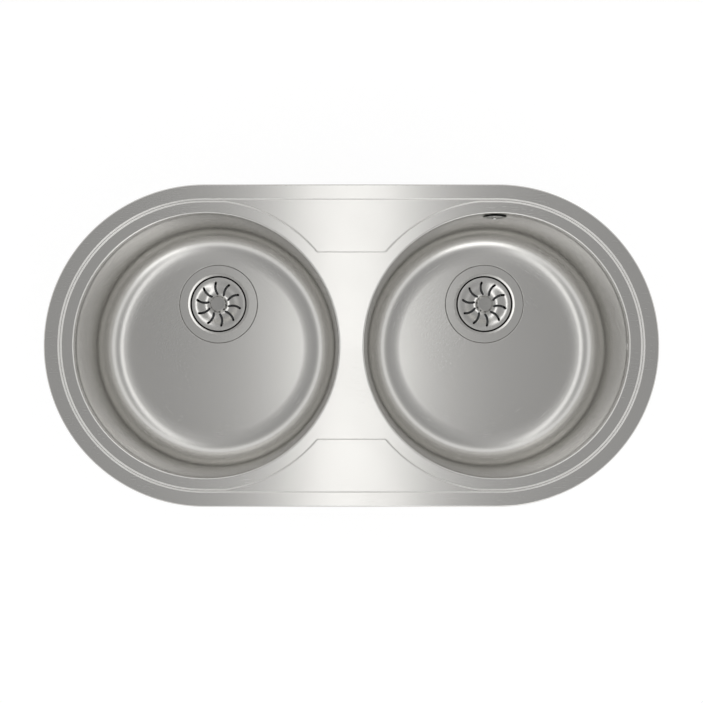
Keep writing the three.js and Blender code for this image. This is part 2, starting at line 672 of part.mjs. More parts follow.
/** Screw through the cover into the elbow. */
function makeOverflowScrew() {
  const end = WALL_OUTSIDE + ELBOW_BACK - 2 * ELBOW_WALL;
  const head = crossRod(
    OVERFLOW_SCREW_HEAD,
    ROSETTE_FACE - OVERFLOW_SCREW_RADIUS,
    ROSETTE_FACE,
    -OVERFLOW_DEPTH,
    SCREW_SIDES,
  );
  return head
    .add(crossRod(OVERFLOW_SCREW_RADIUS, ROSETTE_FACE, end, -OVERFLOW_DEPTH, SCREW_SIDES));
}

/** Ring between the bowl's wall and the elbow's flange, curved to the wall. */
function makeOverflowGasket() {
  const near = OVERFLOW_WALL;
  const far = ELBOW_FACE_Y;
  return crossRod(ELBOW_FLANGE_RADIUS, near, far, -OVERFLOW_DEPTH)
    .subtract(bowlSpace(SHEET + GAP))
    .subtract(crossRod(OVERFLOW_HOLE_RADIUS, near - OVERSIZE, far + OVERSIZE, -OVERFLOW_DEPTH));
}

/** Moulded elbow behind the bowl: flange, barrel, screw boss and the mouth for the pipe. */
function makeElbow() {
  const z = -OVERFLOW_DEPTH;
  const back = WALL_OUTSIDE + ELBOW_BACK;
  const inner = back - ELBOW_WALL;
  const mouth = z - ELBOW_DROP;
  const boss = OVERFLOW_SCREW_RADIUS + GAP + ELBOW_WALL;
  const screwHole = OVERFLOW_SCREW_RADIUS + GAP;
  return crossRod(ELBOW_FLANGE_RADIUS, ELBOW_FACE_Y, ELBOW_FACE_Y + ELBOW_FLANGE_THICKNESS, z)
    .add(crossRod(ELBOW_BARREL_RADIUS, ELBOW_FACE_Y, back, z))
    .add(rod(TUBE_RADIUS, mouth, z, SMALL_SIDES, 0, PIPE_Y))
    .subtract(crossRod(ELBOW_BARREL_RADIUS - ELBOW_WALL, ELBOW_FACE_Y - OVERSIZE, inner, z))
    .subtract(rod(TUBE_BORE, mouth - OVERSIZE, z, SMALL_SIDES, 0, PIPE_Y))
    .add(crossRod(boss, PIPE_Y, inner + ELBOW_WALL / 2, z, SCREW_SIDES))
    .subtract(crossRod(screwHole, PIPE_Y - OVERSIZE, inner, z, SCREW_SIDES));
}

/** Overflow pipe: down behind the bowl, round one bend and into the waste's side inlet. */
function makeOverflowPipe() {
  const top = -OVERFLOW_DEPTH - ELBOW_DROP + PIPE_INSERT;
  const inletZ = -BOWL_DEPTH - INLET_DROP;
  const end = DRAIN_SETBACK + INLET_REACH - PIPE_INSERT;
  const bendTop = new THREE.Vector3(0, PIPE_Y, inletZ + PIPE_BEND_RADIUS);
  const bendEnd = new THREE.Vector3(0, PIPE_Y - PIPE_BEND_RADIUS, inletZ);
  const pull = PIPE_BEND_RADIUS * (4 / 3) * Math.tan(Math.PI / 8);
  const path = new THREE.CurvePath();
  path.add(new THREE.LineCurve3(new THREE.Vector3(0, PIPE_Y, top), bendTop));
  path.add(new THREE.CubicBezierCurve3(
    bendTop,
    bendTop.clone().add(new THREE.Vector3(0, 0, -pull)),
    bendEnd.clone().add(new THREE.Vector3(0, pull, 0)),
    bendEnd,
  ));
  path.add(new THREE.LineCurve3(bendEnd, new THREE.Vector3(0, end, inletZ)));
  const section = new THREE.Shape();
  section.absarc(0, 0, PIPE_RADIUS, 0, 2 * Math.PI);
  const bore = new THREE.Path();
  bore.absarc(0, 0, PIPE_RADIUS - PIPE_WALL, 0, 2 * Math.PI);
  section.holes.push(bore);
  const options = { steps: PIPE_STEPS, curveSegments: PIPE_SIDES / 2, extrudePath: path };
  return solid(new THREE.ExtrudeGeometry(section, options));
}

/** Pipe nut about Z, screwed over a tube's mouth at the origin, with the pipe leaving down. */
function makePipeNut() {
  const inner = TUBE_RADIUS + GAP;
  const outer = inner + PIPE_NUT_WALL;
  return turned([
    [TUBE_BORE, PIPE_NUT_OVERLAP - PIPE_NUT_LENGTH],
    [outer, PIPE_NUT_OVERLAP - PIPE_NUT_LENGTH],
    [outer, PIPE_NUT_OVERLAP],
    [inner, PIPE_NUT_OVERLAP],
    [inner, -GAP],
    [TUBE_BORE, -GAP],
  ], SMALL_SIDES);
}

/** Cap that closes the side inlet of the bowl without an overflow, about Z like the nut. */
function makeInletCap() {
  const inner = TUBE_RADIUS + GAP;
  const outer = inner + PIPE_NUT_WALL;
  return turned([
    [0, -GAP - CAP_END],
    [outer, -GAP - CAP_END],
    [outer, PIPE_NUT_OVERLAP],
    [inner, PIPE_NUT_OVERLAP],
    [inner, -GAP],
    [0, -GAP],
  ], SMALL_SIDES);
}

// ---------------------------------------------------------------- worktop clips

/** Bent bracket welded under the rim, with the weld nut, about the screw's axis. +X is outward. */
function makeClipBracket() {
  const half = BRACKET_LENGTH / 2;
  const top = RIM_HEIGHT - SHEET;
  const footUnder = BRACKET_FOOT_LEVEL - BRACKET_SHEET;
  const legOut = BRACKET_LEG + BRACKET_SHEET;
  const head = block([BRACKET_LEG, -half, top - BRACKET_SHEET], [BRACKET_LEG + BRACKET_TOP_WIDTH,
    half, top]);
  const nut = rod(WELD_NUT_RADIUS, footUnder - WELD_NUT_HEIGHT, footUnder, 6);
  const hole = rod(CLIP_SCREW_RADIUS + GAP, footUnder - WELD_NUT_HEIGHT - OVERSIZE,
    BRACKET_FOOT_LEVEL + OVERSIZE, SCREW_SIDES);
  return head
    .add(block([BRACKET_LEG, -half, footUnder], [legOut, half, top]))
    .add(block([-BRACKET_FOOT_BACK, -half, footUnder], [legOut, half, BRACKET_FOOT_LEVEL]))
    .add(nut)
    .subtract(hole);
}

/** Screw that hangs in the weld nut, with a flange below the claw and a shoulder above it. */
function makeClipScrew() {
  const clawTop = CLAW_LEVEL + CLAW_SHEET;
  const headTop = CLAW_LEVEL - CLIP_FLANGE_HEIGHT;
  return turned([
    [0, headTop - CLIP_HEAD_HEIGHT],
    [CLIP_HEAD_RADIUS, headTop - CLIP_HEAD_HEIGHT],
    [CLIP_HEAD_RADIUS, headTop],
    [CLIP_FLANGE_RADIUS, headTop],
    [CLIP_FLANGE_RADIUS, CLAW_LEVEL],
    [CLIP_SCREW_RADIUS, CLAW_LEVEL],
    [CLIP_SCREW_RADIUS, clawTop + GAP],
    [CLIP_SHOULDER_RADIUS, clawTop + GAP],
    [CLIP_SHOULDER_RADIUS, clawTop + GAP + CLIP_SHOULDER_HEIGHT],
    [CLIP_SCREW_RADIUS, clawTop + GAP + CLIP_SHOULDER_HEIGHT],
    [CLIP_SCREW_RADIUS, CLIP_SCREW_TOP],
    [0, CLIP_SCREW_TOP],
  ], SCREW_SIDES);
}

/** Claw that turns on the screw and grips under the worktop. At rest it lies along the edge. */
function makeClipClaw() {
  const half = CLAW_WIDTH / 2;
  const top = CLAW_LEVEL + CLAW_SHEET;
  const tipTop = CLAW_LEVEL + CLAW_TIP_HEIGHT;
  return block([-half, -CLAW_REACH, CLAW_LEVEL], [half, CLAW_BACK, top])
    .add(block([-half, -CLAW_REACH, CLAW_LEVEL], [half, CLAW_SHEET - CLAW_REACH, tipTop]))
    .subtract(rod(CLIP_SCREW_RADIUS + GAP, CLAW_LEVEL - OVERSIZE, top + OVERSIZE, SCREW_SIDES));
}

/** Where the eight clips stand: the screw's axis and the way out to the edge. */
function clipPlaces() {
  const reach = END_RADIUS - CLIP_INSET;
  const places = [];
  for (const side of [1, -1]) {
    for (const end of [1, -1]) {
      const outward = Math.atan2(side * Math.sin(CLIP_END_ANGLE), end * Math.cos(CLIP_END_ANGLE));
      places.push({ x: end * CLIP_STRAIGHT_X, y: side * reach, outward: (side * Math.PI) / 2 });
      places.push({
        x: end * END_X + reach * Math.cos(outward),
        y: reach * Math.sin(outward),
        outward,
      });
    }
  }
  return places;
}

// ---------------------------------------------------------------- assembly

const sink = new THREE.Group();
piece('deck', makeDeck(), BRUSHED_STEEL, sink);
piece('rim_seal', makeRimSeal(), GREY_FOAM, sink);

for (const [side, sign] of [['left', -1], ['right', 1]]) {
  const bowlGroup = new THREE.Group();
  bowlGroup.position.set(sign * BOWL_X, 0, 0);
  sink.add(bowlGroup);
  const bowl = side === 'right' ? makeBowl().subtract(overflowHole()) : makeBowl();
  piece(`${side}_bowl`, bowl, BRUSHED_STEEL, bowlGroup);
  piece(`${side}_sound_pad`, makeSoundPad(), BLACK_RUBBER, bowlGroup);

  const drain = new THREE.Group();
  drain.position.set(0, DRAIN_SETBACK, -BOWL_DEPTH);
  bowlGroup.add(drain);
  piece(`${side}_strainer_flange`, makeStrainerFlange(), POLISHED_STEEL, drain);
  piece(`${side}_strainer_gasket`, makeStrainerGasket(), BLACK_RUBBER, drain);
  piece(`${side}_waste_gasket`, makeWasteGasket(), BLACK_RUBBER, drain);
  piece(`${side}_waste_body`, makeWasteBody(), WHITE_PLASTIC, drain);
  piece(`${side}_waste_spigot`, makeWasteSpigot(), WHITE_PLASTIC, drain);
  piece(`${side}_clamp_screw`, makeClampScrew(), POLISHED_STEEL, drain);
  piece(`${side}_outlet_nut`, makeOutletNut(), GREY_PLASTIC, drain);
  piece(`${side}_basket_plate`, makeBasketPlate(), POLISHED_STEEL, drain);
  piece(`${side}_basket_knob`, makeBasketKnob(), POLISHED_STEEL, drain);
  piece(`${side}_basket_stem`, makeBasketStem(), GREY_PLASTIC, drain);
  piece(`${side}_basket_seal`, makeBasketSeal(), BLACK_RUBBER, drain);

  const inletMouth = new THREE.Group();
  inletMouth.position.set(0, INLET_REACH, -INLET_DROP);
  inletMouth.rotation.x = Math.PI / 2;
  drain.add(inletMouth);
  if (side === 'left') {
    piece('left_inlet_cap', makeInletCap(), GREY_PLASTIC, inletMouth);
  } else {
    piece('overflow_lower_nut', makePipeNut(), GREY_PLASTIC, inletMouth);
    piece('overflow_rosette', makeRosette(), POLISHED_STEEL, bowlGroup);
    piece('overflow_screw', makeOverflowScrew(), POLISHED_STEEL, bowlGroup);
    piece('overflow_gasket', makeOverflowGasket(), BLACK_RUBBER, bowlGroup);
    piece('overflow_elbow', makeElbow(), WHITE_PLASTIC, bowlGroup);
    piece('overflow_pipe', makeOverflowPipe(), WHITE_PLASTIC, bowlGroup);
    const elbowMouth = new THREE.Group();
    elbowMouth.position.set(0, PIPE_Y, -OVERFLOW_DEPTH - ELBOW_DROP);
    bowlGroup.add(elbowMouth);
    piece('overflow_upper_nut', makePipeNut(), GREY_PLASTIC, elbowMouth);
  }
}

clipPlaces().forEach(({ x, y, outward }, index) => {
  const clip = new THREE.Group();
  clip.position.set(x, y, 0);
  clip.rotation.z = outward;
  sink.add(clip);
  piece(`clip_bracket_${index + 1}`, makeClipBracket(), ZINC_STEEL, clip);
  piece(`clip_screw_${index + 1}`, makeClipScrew(), ZINC_STEEL, clip);
  piece(`clip_claw_${index + 1}`, makeClipClaw(), ZINC_STEEL, clip);
});

export default sink;
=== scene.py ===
"""Inset kitchen sink with two round bowls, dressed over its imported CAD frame.

Sizes are in millimetres until a mesh is made. +X runs along the sink to the right, +Y to the back and +Z
up, and the origin is the middle of the sink on the worktop's face.
"""

import logging
import math
from dataclasses import dataclass
from enum import Enum
from typing import Callable, Sequence

import bpy
from mathutils import Matrix, Vector
from mathutils.geometry import delaunay_2d_cdt


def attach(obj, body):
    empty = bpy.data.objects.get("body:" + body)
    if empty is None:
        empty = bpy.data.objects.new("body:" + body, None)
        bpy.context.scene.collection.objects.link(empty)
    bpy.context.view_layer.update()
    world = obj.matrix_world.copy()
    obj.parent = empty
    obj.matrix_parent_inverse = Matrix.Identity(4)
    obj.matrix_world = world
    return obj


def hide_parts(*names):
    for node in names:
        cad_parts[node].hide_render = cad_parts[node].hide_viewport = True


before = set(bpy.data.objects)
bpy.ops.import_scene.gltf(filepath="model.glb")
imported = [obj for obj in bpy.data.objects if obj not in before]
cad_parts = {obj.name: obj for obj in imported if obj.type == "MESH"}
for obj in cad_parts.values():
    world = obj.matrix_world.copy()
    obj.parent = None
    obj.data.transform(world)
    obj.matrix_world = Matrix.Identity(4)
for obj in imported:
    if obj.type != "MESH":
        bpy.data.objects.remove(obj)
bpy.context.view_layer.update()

MM = 0.001
TURN = 2 * math.pi
UP = Vector((0.0, 0.0, 1.0))
ARC_STEP = math.radians(15)
LOG = logging.getLogger("sink")

Colour = tuple[float, float, float, float]
Rounded = tuple[float, float, float]


# ---------------------------------------------------------------- surfaces


@dataclass(frozen=True)
class EdgePoint:
    """A point of a profile with the direction that its surface faces.

    Attributes:
        reach: Distance from the axis, or along the profile's first direction.
        level: Height.
        out: How much the surface faces outward.
        up: How much it faces upward.
    """

    reach: float
    level: float
    out: float
    up: float


def rounded(corners: Sequence[Rounded], closed: bool = False) -> list[EdgePoint]:
    """A profile whose corners are rounded.

    Args:
        corners: (reach, level, radius) of each corner, with the material on the left of the way.
        closed: Whether the last corner leads back to the first.

    Returns:
        The profile's points with the way that the surface faces at each.
    """
    points: list[EdgePoint] = []
    count = len(corners)
    for i, (reach, level, radius) in enumerate(corners):
        here = Vector((reach, level))
        last = Vector(corners[i - 1][:2])
        following = Vector(corners[(i + 1) % count][:2])
        if not closed and i in (0, count - 1):
            way = (following - here if i == 0 else here - last).normalized()
            points.append(EdgePoint(reach, level, way.y, -way.x))
            continue
        before, after = (here - last).normalized(), (following - here).normalized()
        bend = math.atan2(before.x * after.y - before.y * after.x, before.dot(after))
        back = radius * math.tan(abs(bend) / 2)
        left = Vector((-before.y, before.x)) * math.copysign(1, bend)
        start = here - before * back
        centre = start + left * radius
        steps = max(1, math.ceil(abs(bend) / ARC_STEP))
        for k in range(steps + 1):
            spin = Matrix.Rotation(bend * k / steps, 2)
            place = centre + spin @ (start - centre)
            facing = spin @ Vector((before.y, -before.x))
            points.append(EdgePoint(place.x, place.y, facing.x, facing.y))
    return points


@dataclass(frozen=True)
class Contour:
    """A closed line seen from above.

    Attributes:
        points: Its points in order.
        sides: The way sideways from the line at each point, longer than 1 at a corner.
    """

    points: tuple[tuple[float, float], ...]
    sides: tuple[tuple[float, float], ...]

    def at(self, offset: float, level: float) -> list[Vector]:
        """The line moved sideways by an offset, at a level.

        Args:
            offset: Distance sideways.
            level: The level.

        Returns:
            The moved line's points.
        """
        return [
            Vector((x + sx * offset, y + sy * offset, level))
            for (x, y), (sx, sy) in zip(self.points, self.sides)
        ]

    def facing(self, point: EdgePoint) -> list[Vector]:
        """The normals of a profile that is swept along the line, at one of its points.

        Args:
            point: The profile's point.

        Returns:
            A normal at each point of the line.
        """
        return [
            (Vector((sx, sy, 0)).normalized() * point.out + UP * point.up)
            for sx, sy in self.sides
        ]


def circle(radius: float, sides: int, x: float = 0.0, y: float = 0.0) -> Contour:
    """A round line, whose sideways direction is outward.

    Args:
        radius: Its radius.
        sides: Points round it.
        x: Place of its middle.
        y: Place of its middle.

    Returns:
        The line.
    """
    ways = tuple(
        (math.cos(TURN * i / sides), math.sin(TURN * i / sides)) for i in range(sides)
    )
    return Contour(tuple((x + radius * c, y + radius * s) for c, s in ways), ways)


def hole(radius: float, sides: int, x: float = 0.0, y: float = 0.0) -> Contour:
    """A round line, whose sideways direction is inward."""
    line = circle(radius, sides, x, y)
    return Contour(line.points, tuple((-c, -s) for c, s in line.sides))


def outline(corners: Sequence[Rounded]) -> Contour:
    """A closed line with rounded corners, given anticlockwise, whose sideways direction is outward."""
    points = rounded(corners, closed=True)
    return Contour(tuple((p.reach, p.level) for p in points), tuple((p.out, p.up) for p in points))


def polygon(radius: float, count: int, corner: float) -> Contour:
    """An even-sided outline with rounded corners, by the radius that its corners stand on."""
    turns = [TURN * i / count for i in range(count)]
    return outline([(radius * math.cos(a), radius * math.sin(a), corner) for a in turns])


def lobed(radius: float, lift: float, lobes: int, share: float, sides: int) -> Contour:
    """A round line with raised lobes.

    Args:
        radius: Radius between the lobes.
        lift: Height of the lobes.
        lobes: Number of lobes.
        share: Part of the way round that they take.
        sides: Points round the line.

    Returns:
        The line, whose sideways direction is outward.
    """

    def place(turn: float) -> Vector:
        """The line's place in a direction."""
        wave = 4 * (math.cos(lobes * turn) - math.cos(math.pi * share)) + 0.5
        reach = radius + lift * min(1.0, max(0.0, wave))
        return spot(reach, turn)

    turns = [TURN * i / sides for i in range(sides)]
    ways = [(place(a + 0.01) - place(a - 0.01)).normalized() for a in turns]
    return Contour(tuple(tuple(place(a)) for a in turns), tuple((w.y, -w.x) for w in ways))


def groove(centres: Sequence[Vector], width: float) -> Contour:
    """The outline of a slot with round ends, whose sideways direction is into the slot.

    Args:
        centres: The slot's centre line.
        width: Its width.

    Returns:
        The outline.
    """
    rows: list[tuple[Vector, Vector]] = []
    for run in (list(centres), list(reversed(centres))):
        ways = [(b - a).normalized() for a, b in zip(run, run[1:])]
        ways.append(ways[-1])
        rows += [(c, Vector((-w.y, w.x))) for c, w in zip(run, ways)]
        first = rows[-1][1]
        rows += [(run[-1], Matrix.Rotation(-math.pi * k / 6, 2) @ first) for k in range(1, 6)]
    return Contour(
        tuple(tuple(c + away * (width / 2)) for c, away in rows),
        tuple((-away.x, -away.y) for _, away in rows),
    )


def spot(reach: float, turn: float) -> Vector:
    """A flat place, by its distance from the origin and its direction."""
    return Vector((reach * math.cos(turn), reach * math.sin(turn)))


class Surface:
    """A mesh in the making, with the normal that each point is shaded with."""

    def __init__(self) -> None:
        """Starts with no points and no faces."""
        self.points: list[Vector] = []
        self.normals: list[Vector] = []
        self.faces: list[tuple[tuple[int, ...], bool]] = []

    def ring(self, points: Sequence[Vector], normals: Sequence[Vector]) -> list[int]:
        """Adds points with their normals.

        Args:
            points: Places in millimetres.
            normals: One normal for each point.

        Returns:
            The numbers of the new points.
        """
        start = len(self.points)
        self.points.extend(Vector(p) for p in points)
        self.normals.extend(Vector(n).normalized() for n in normals)
        return list(range(start, len(self.points)))

    def bridge(
        self, first: Sequence[int], second: Sequence[int], closed: bool = True, smooth: bool = True
    ) -> None:
        """Joins two rows of points by a strip of faces.

        Args:
            first: One row.
            second: The other, of the same length or a single point.
            closed: Whether the rows are rings.
            smooth: Whether the faces are shaded with the points' normals.
        """
        if len(first) < len(second):
            first, second = second, first
        count = len(first)
        for i in range(count if closed else count - 1):
            j = (i + 1) % count
            if len(second) == 1:
                self.faces.append(((first[i], first[j], second[0]), smooth))
            else:
                self.faces.append(((first[i], first[j], second[j], second[i]), smooth))

    def fill(
        self,
        loops: Sequence[Sequence[int]],
        inner: Sequence[int] = (),
        plane: Callable[[Vector], Vector] = Vector.to_2d,
    ) -> None:
        """Fills the space between closed loops.

        Args:
            loops: The outer loop and any holes.
            inner: Points inside the space that the faces pass through.
            plane: Lays a point flat. Without it the loops are seen from above.
        """
        numbers: list[int] = []
        edges: list[tuple[int, int]] = []
        for loop in loops:
            start = len(numbers)
            numbers.extend(loop)
            edges.extend(
                (start + i, start + (i + 1) % len(loop)) for i in range(len(loop))
            )
        numbers.extend(inner)
        flat = [plane(self.points[i]) for i in numbers]
        lines = [[plane(self.points[i]) for i in loop] for loop in loops]
        _, _, triangles, sources, _, _ = delaunay_2d_cdt(flat, edges, [], 0, 1e-6)
        for triangle in triangles:
            middle = sum((flat[sources[k][0]] for k in triangle), Vector((0.0, 0.0))) / 3
            if inside(middle, lines):
                self.faces.append((tuple(numbers[sources[k][0]] for k in triangle), True))

    def sweep(
        self,
        profile: Sequence[EdgePoint],
        contour: Contour,
        closed: bool = False,
        to_level: float = 0.0,
    ) -> list[list[int]]:
        """Sweeps a profile along a contour.

        Args:
            profile: Points whose reach is the distance sideways from the contour.
            contour: The line to follow.
            closed: Whether the profile leads back to its start.
            to_level: Added to every level.

        Returns:
            The ring of points at each point of the profile.
        """
        rings: list[list[int]] = []
        for point in profile:
            places = contour.at(point.reach, point.level + to_level)
            rings.append(self.ring(places, contour.facing(point)))
        for a, b in zip(rings, rings[1:]):
            self.bridge(a, b)
        if closed:
            self.bridge(rings[-1], rings[0])
        return rings

    def turn(
        self, profile: Sequence[EdgePoint], sides: int, closed: bool = False
    ) -> list[list[int]]:
        """Turns a profile about Z.

        Args:
            profile: Points whose reach is the radius. A radius of nought is a single point.
            sides: Points round each ring.
            closed: Whether the profile leads back to its start.

        Returns:
            The ring of points at each point of the profile.
        """
        rings: list[list[int]] = []
        for point in profile:
            if point.reach < 1e-6:
                facing = UP * math.copysign(1, point.up)
                rings.append(self.ring([Vector((0, 0, point.level))], [facing]))
                continue
            around = circle(point.reach, sides)
            rings.append(self.ring(around.at(0, point.level), around.facing(point)))
        for a, b in zip(rings, rings[1:]):
            self.bridge(a, b)
        if closed:
            self.bridge(rings[-1], rings[0])
        return rings

    def walls(
        self, lines: Sequence[Contour], low: float, high: float, edge: float
    ) -> tuple[list[list[int]], list[list[int]]]:
        """Adds the upright sides of a slab, with rounded edges.

        Args:
            lines: The slab's outline and holes, with sideways away from the material.
            low: Level of the underside.
            high: Level of the top.
            edge: Radius of the edges.

        Returns:
            The loops that bound the underside, and those that bound the top.
        """
        profile = rounded([
            (-2 * edge, low, 0.0), (0.0, low, edge), (0.0, high, edge), (-2 * edge, high, 0.0),
        ])[1:-1]
        sides = [self.sweep(profile, line) for line in lines]
        return [rings[0] for rings in sides], [rings[-1] for rings in sides]

    def slab(
        self,
        lines: Sequence[Contour],
        low: float,
        high: float,
        edge: float,
        inner: Sequence[Vector] = (),
    ) -> None:
        """Adds a slab with rounded edges.

        Args:
            lines: The outline and any holes, with sideways away from the material.
            low: Level of the underside.
            high: Level of the top.
            edge: Radius of the edges.
            inner: Places that the top and the underside also pass through.
        """
        for loops, level, facing in zip(self.walls(lines, low, high, edge), (low, high), (-UP, UP)):
            places = [Vector((*place, level)) for place in inner]
            self.fill(loops, self.ring(places, [facing] * len(places)))

    def press(self, form: Callable[[float], float]) -> None:
        """Presses the surface to a round form, given as its lift at each distance from the axis.

        Args:
            form: Gives the lift at each distance from the axis.
        """
        step = 0.02
        for i, point in enumerate(self.points):
            reach = max(point.xy.length, step)
            slope = (form(reach + step) - form(reach - step)) / (2 * step)
            facing = self.normals[i]
            lean = point.xy * (slope * facing.z / reach)
            self.normals[i] = Vector((facing.x - lean.x, facing.y - lean.y, facing.z)).normalized()
            point.z += form(reach)

    def thread(
        self, radius: float, depth: float, pitch: float, low: float, high: float, sides: int
    ) -> list[list[int]]:
        """Adds a screw's thread about Z, open at both ends.

        Args:
            radius: Radius over the thread.
            depth: Depth of the thread.
            pitch: Rise of one turn.
            low: Level of its lower end.
            high: Level of its upper end.
            sides: Points round each ring.

        Returns:
            Its rings from the lower end up.
        """
        steps = math.ceil((high - low) / pitch * 4)
        rings: list[list[int]] = []
        for k in range(steps + 1):
            level = low + (high - low) * k / steps
            places, facing = [], []
            for i in range(sides):
                c, s = math.cos(TURN * i / sides), math.sin(TURN * i / sides)
                phase = (level / pitch - i / sides) % 1.0
                reach = radius - depth * (1 - abs(2 * phase - 1))
                lean = math.copysign(2 * depth / pitch, phase - 0.5)
                places.append(Vector((reach * c, reach * s, level)))
                facing.append(Vector((c, s, -lean)))
            rings.append(self.ring(places, facing))
        for a, b in zip(rings, rings[1:]):
            self.bridge(a, b)
        return rings

    def thicken(self, thickness: float) -> None:
        """Turns the open surface into sheet of a thickness, behind its normals.

        Args:
            thickness: Thickness of the sheet.
        """
        count = len(self.points)
        uses: dict[tuple[int, int], int] = {}
        for face, _ in self.faces:
            for a, b in zip(face, face[1:] + face[:1]):
                key = (min(a, b), max(a, b))
                uses[key] = uses.get(key, 0) + 1
        self.points.extend([p - n * thickness for p, n in zip(self.points, self.normals)])
        self.normals.extend([-n for n in self.normals])
        self.faces.extend(
            [(tuple(i + count for i in reversed(face)), smooth) for face, smooth in self.faces]
        )
        for (a, b), used in uses.items():
            if used == 1:
                self.faces.append(((a, b, b + count, a + count), False))

    def moved(self, matrix: Matrix) -> "Surface":
        """Moves the whole surface.

        Args:
            matrix: The move, in millimetres.

        Returns:
            The surface itself.
        """
        turn = matrix.to_3x3()
        self.points = [matrix @ p for p in self.points]
        self.normals = [turn @ n for n in self.normals]
        return self

    def take(self, other: "Surface", matrix: Matrix | None = None) -> None:
        """Adds another surface.

        Args:
            other: The surface to add.
            matrix: Moves it first, in millimetres.
        """
        start = len(self.points)
        if matrix:
            other.moved(matrix)
        self.points.extend(other.points)
        self.normals.extend(other.normals)
        self.faces.extend(
            (tuple(i + start for i in face), smooth) for face, smooth in other.faces
        )

    def build(self, name: str, origin: Sequence[float] = (0, 0, 0)) -> bpy.types.Object:
        """Makes the object, with its faces turned outward.

        Args:
            name: The piece's name.
            origin: Where the surface's own origin stands, in millimetres.

        Returns:
            The new object.
        """
        faces: list[tuple[int, ...]] = []
        shading: list[Vector] = []
        for face, smooth in self.faces:
            a, b, c = (self.points[i] for i in face[:3])
            across = (b - a).cross(c - a)
            if len(face) == 4:
                across = (c - a).cross(self.points[face[3]] - b)
            if smooth and across.dot(sum((self.normals[i] for i in face), Vector())) < 0:
                face = tuple(reversed(face))
            faces.append(face)
            facing = across.normalized()
            shading.extend(self.normals[i] if smooth else facing for i in face)
        mesh = bpy.data.meshes.new(name)
        mesh.from_pydata([p * MM for p in self.points], [], faces)
        mesh.polygons.foreach_set("use_smooth", [True] * len(faces))
        mesh.normals_split_custom_set(shading)
        piece = bpy.data.objects.new(name, mesh)
        piece.location = Vector(origin) * MM
        bpy.context.scene.collection.objects.link(piece)
        return piece


def inside(place: Vector, loops: Sequence[Sequence[Vector]]) -> bool:
    """Whether a place lies between closed loops, inside an odd number of them.

    Args:
        place: The place.
        loops: The loops.

    Returns:
        True if it does.
    """
    odd = False
    for loop in loops:
        for a, b in zip(loop, list(loop[1:]) + [loop[0]]):
            if (a.y > place.y) != (b.y > place.y):
                if place.x < a.x + (b.x - a.x) * (place.y - a.y) / (b.y - a.y):
                    odd = not odd
    return odd


# ---------------------------------------------------------------- finishes


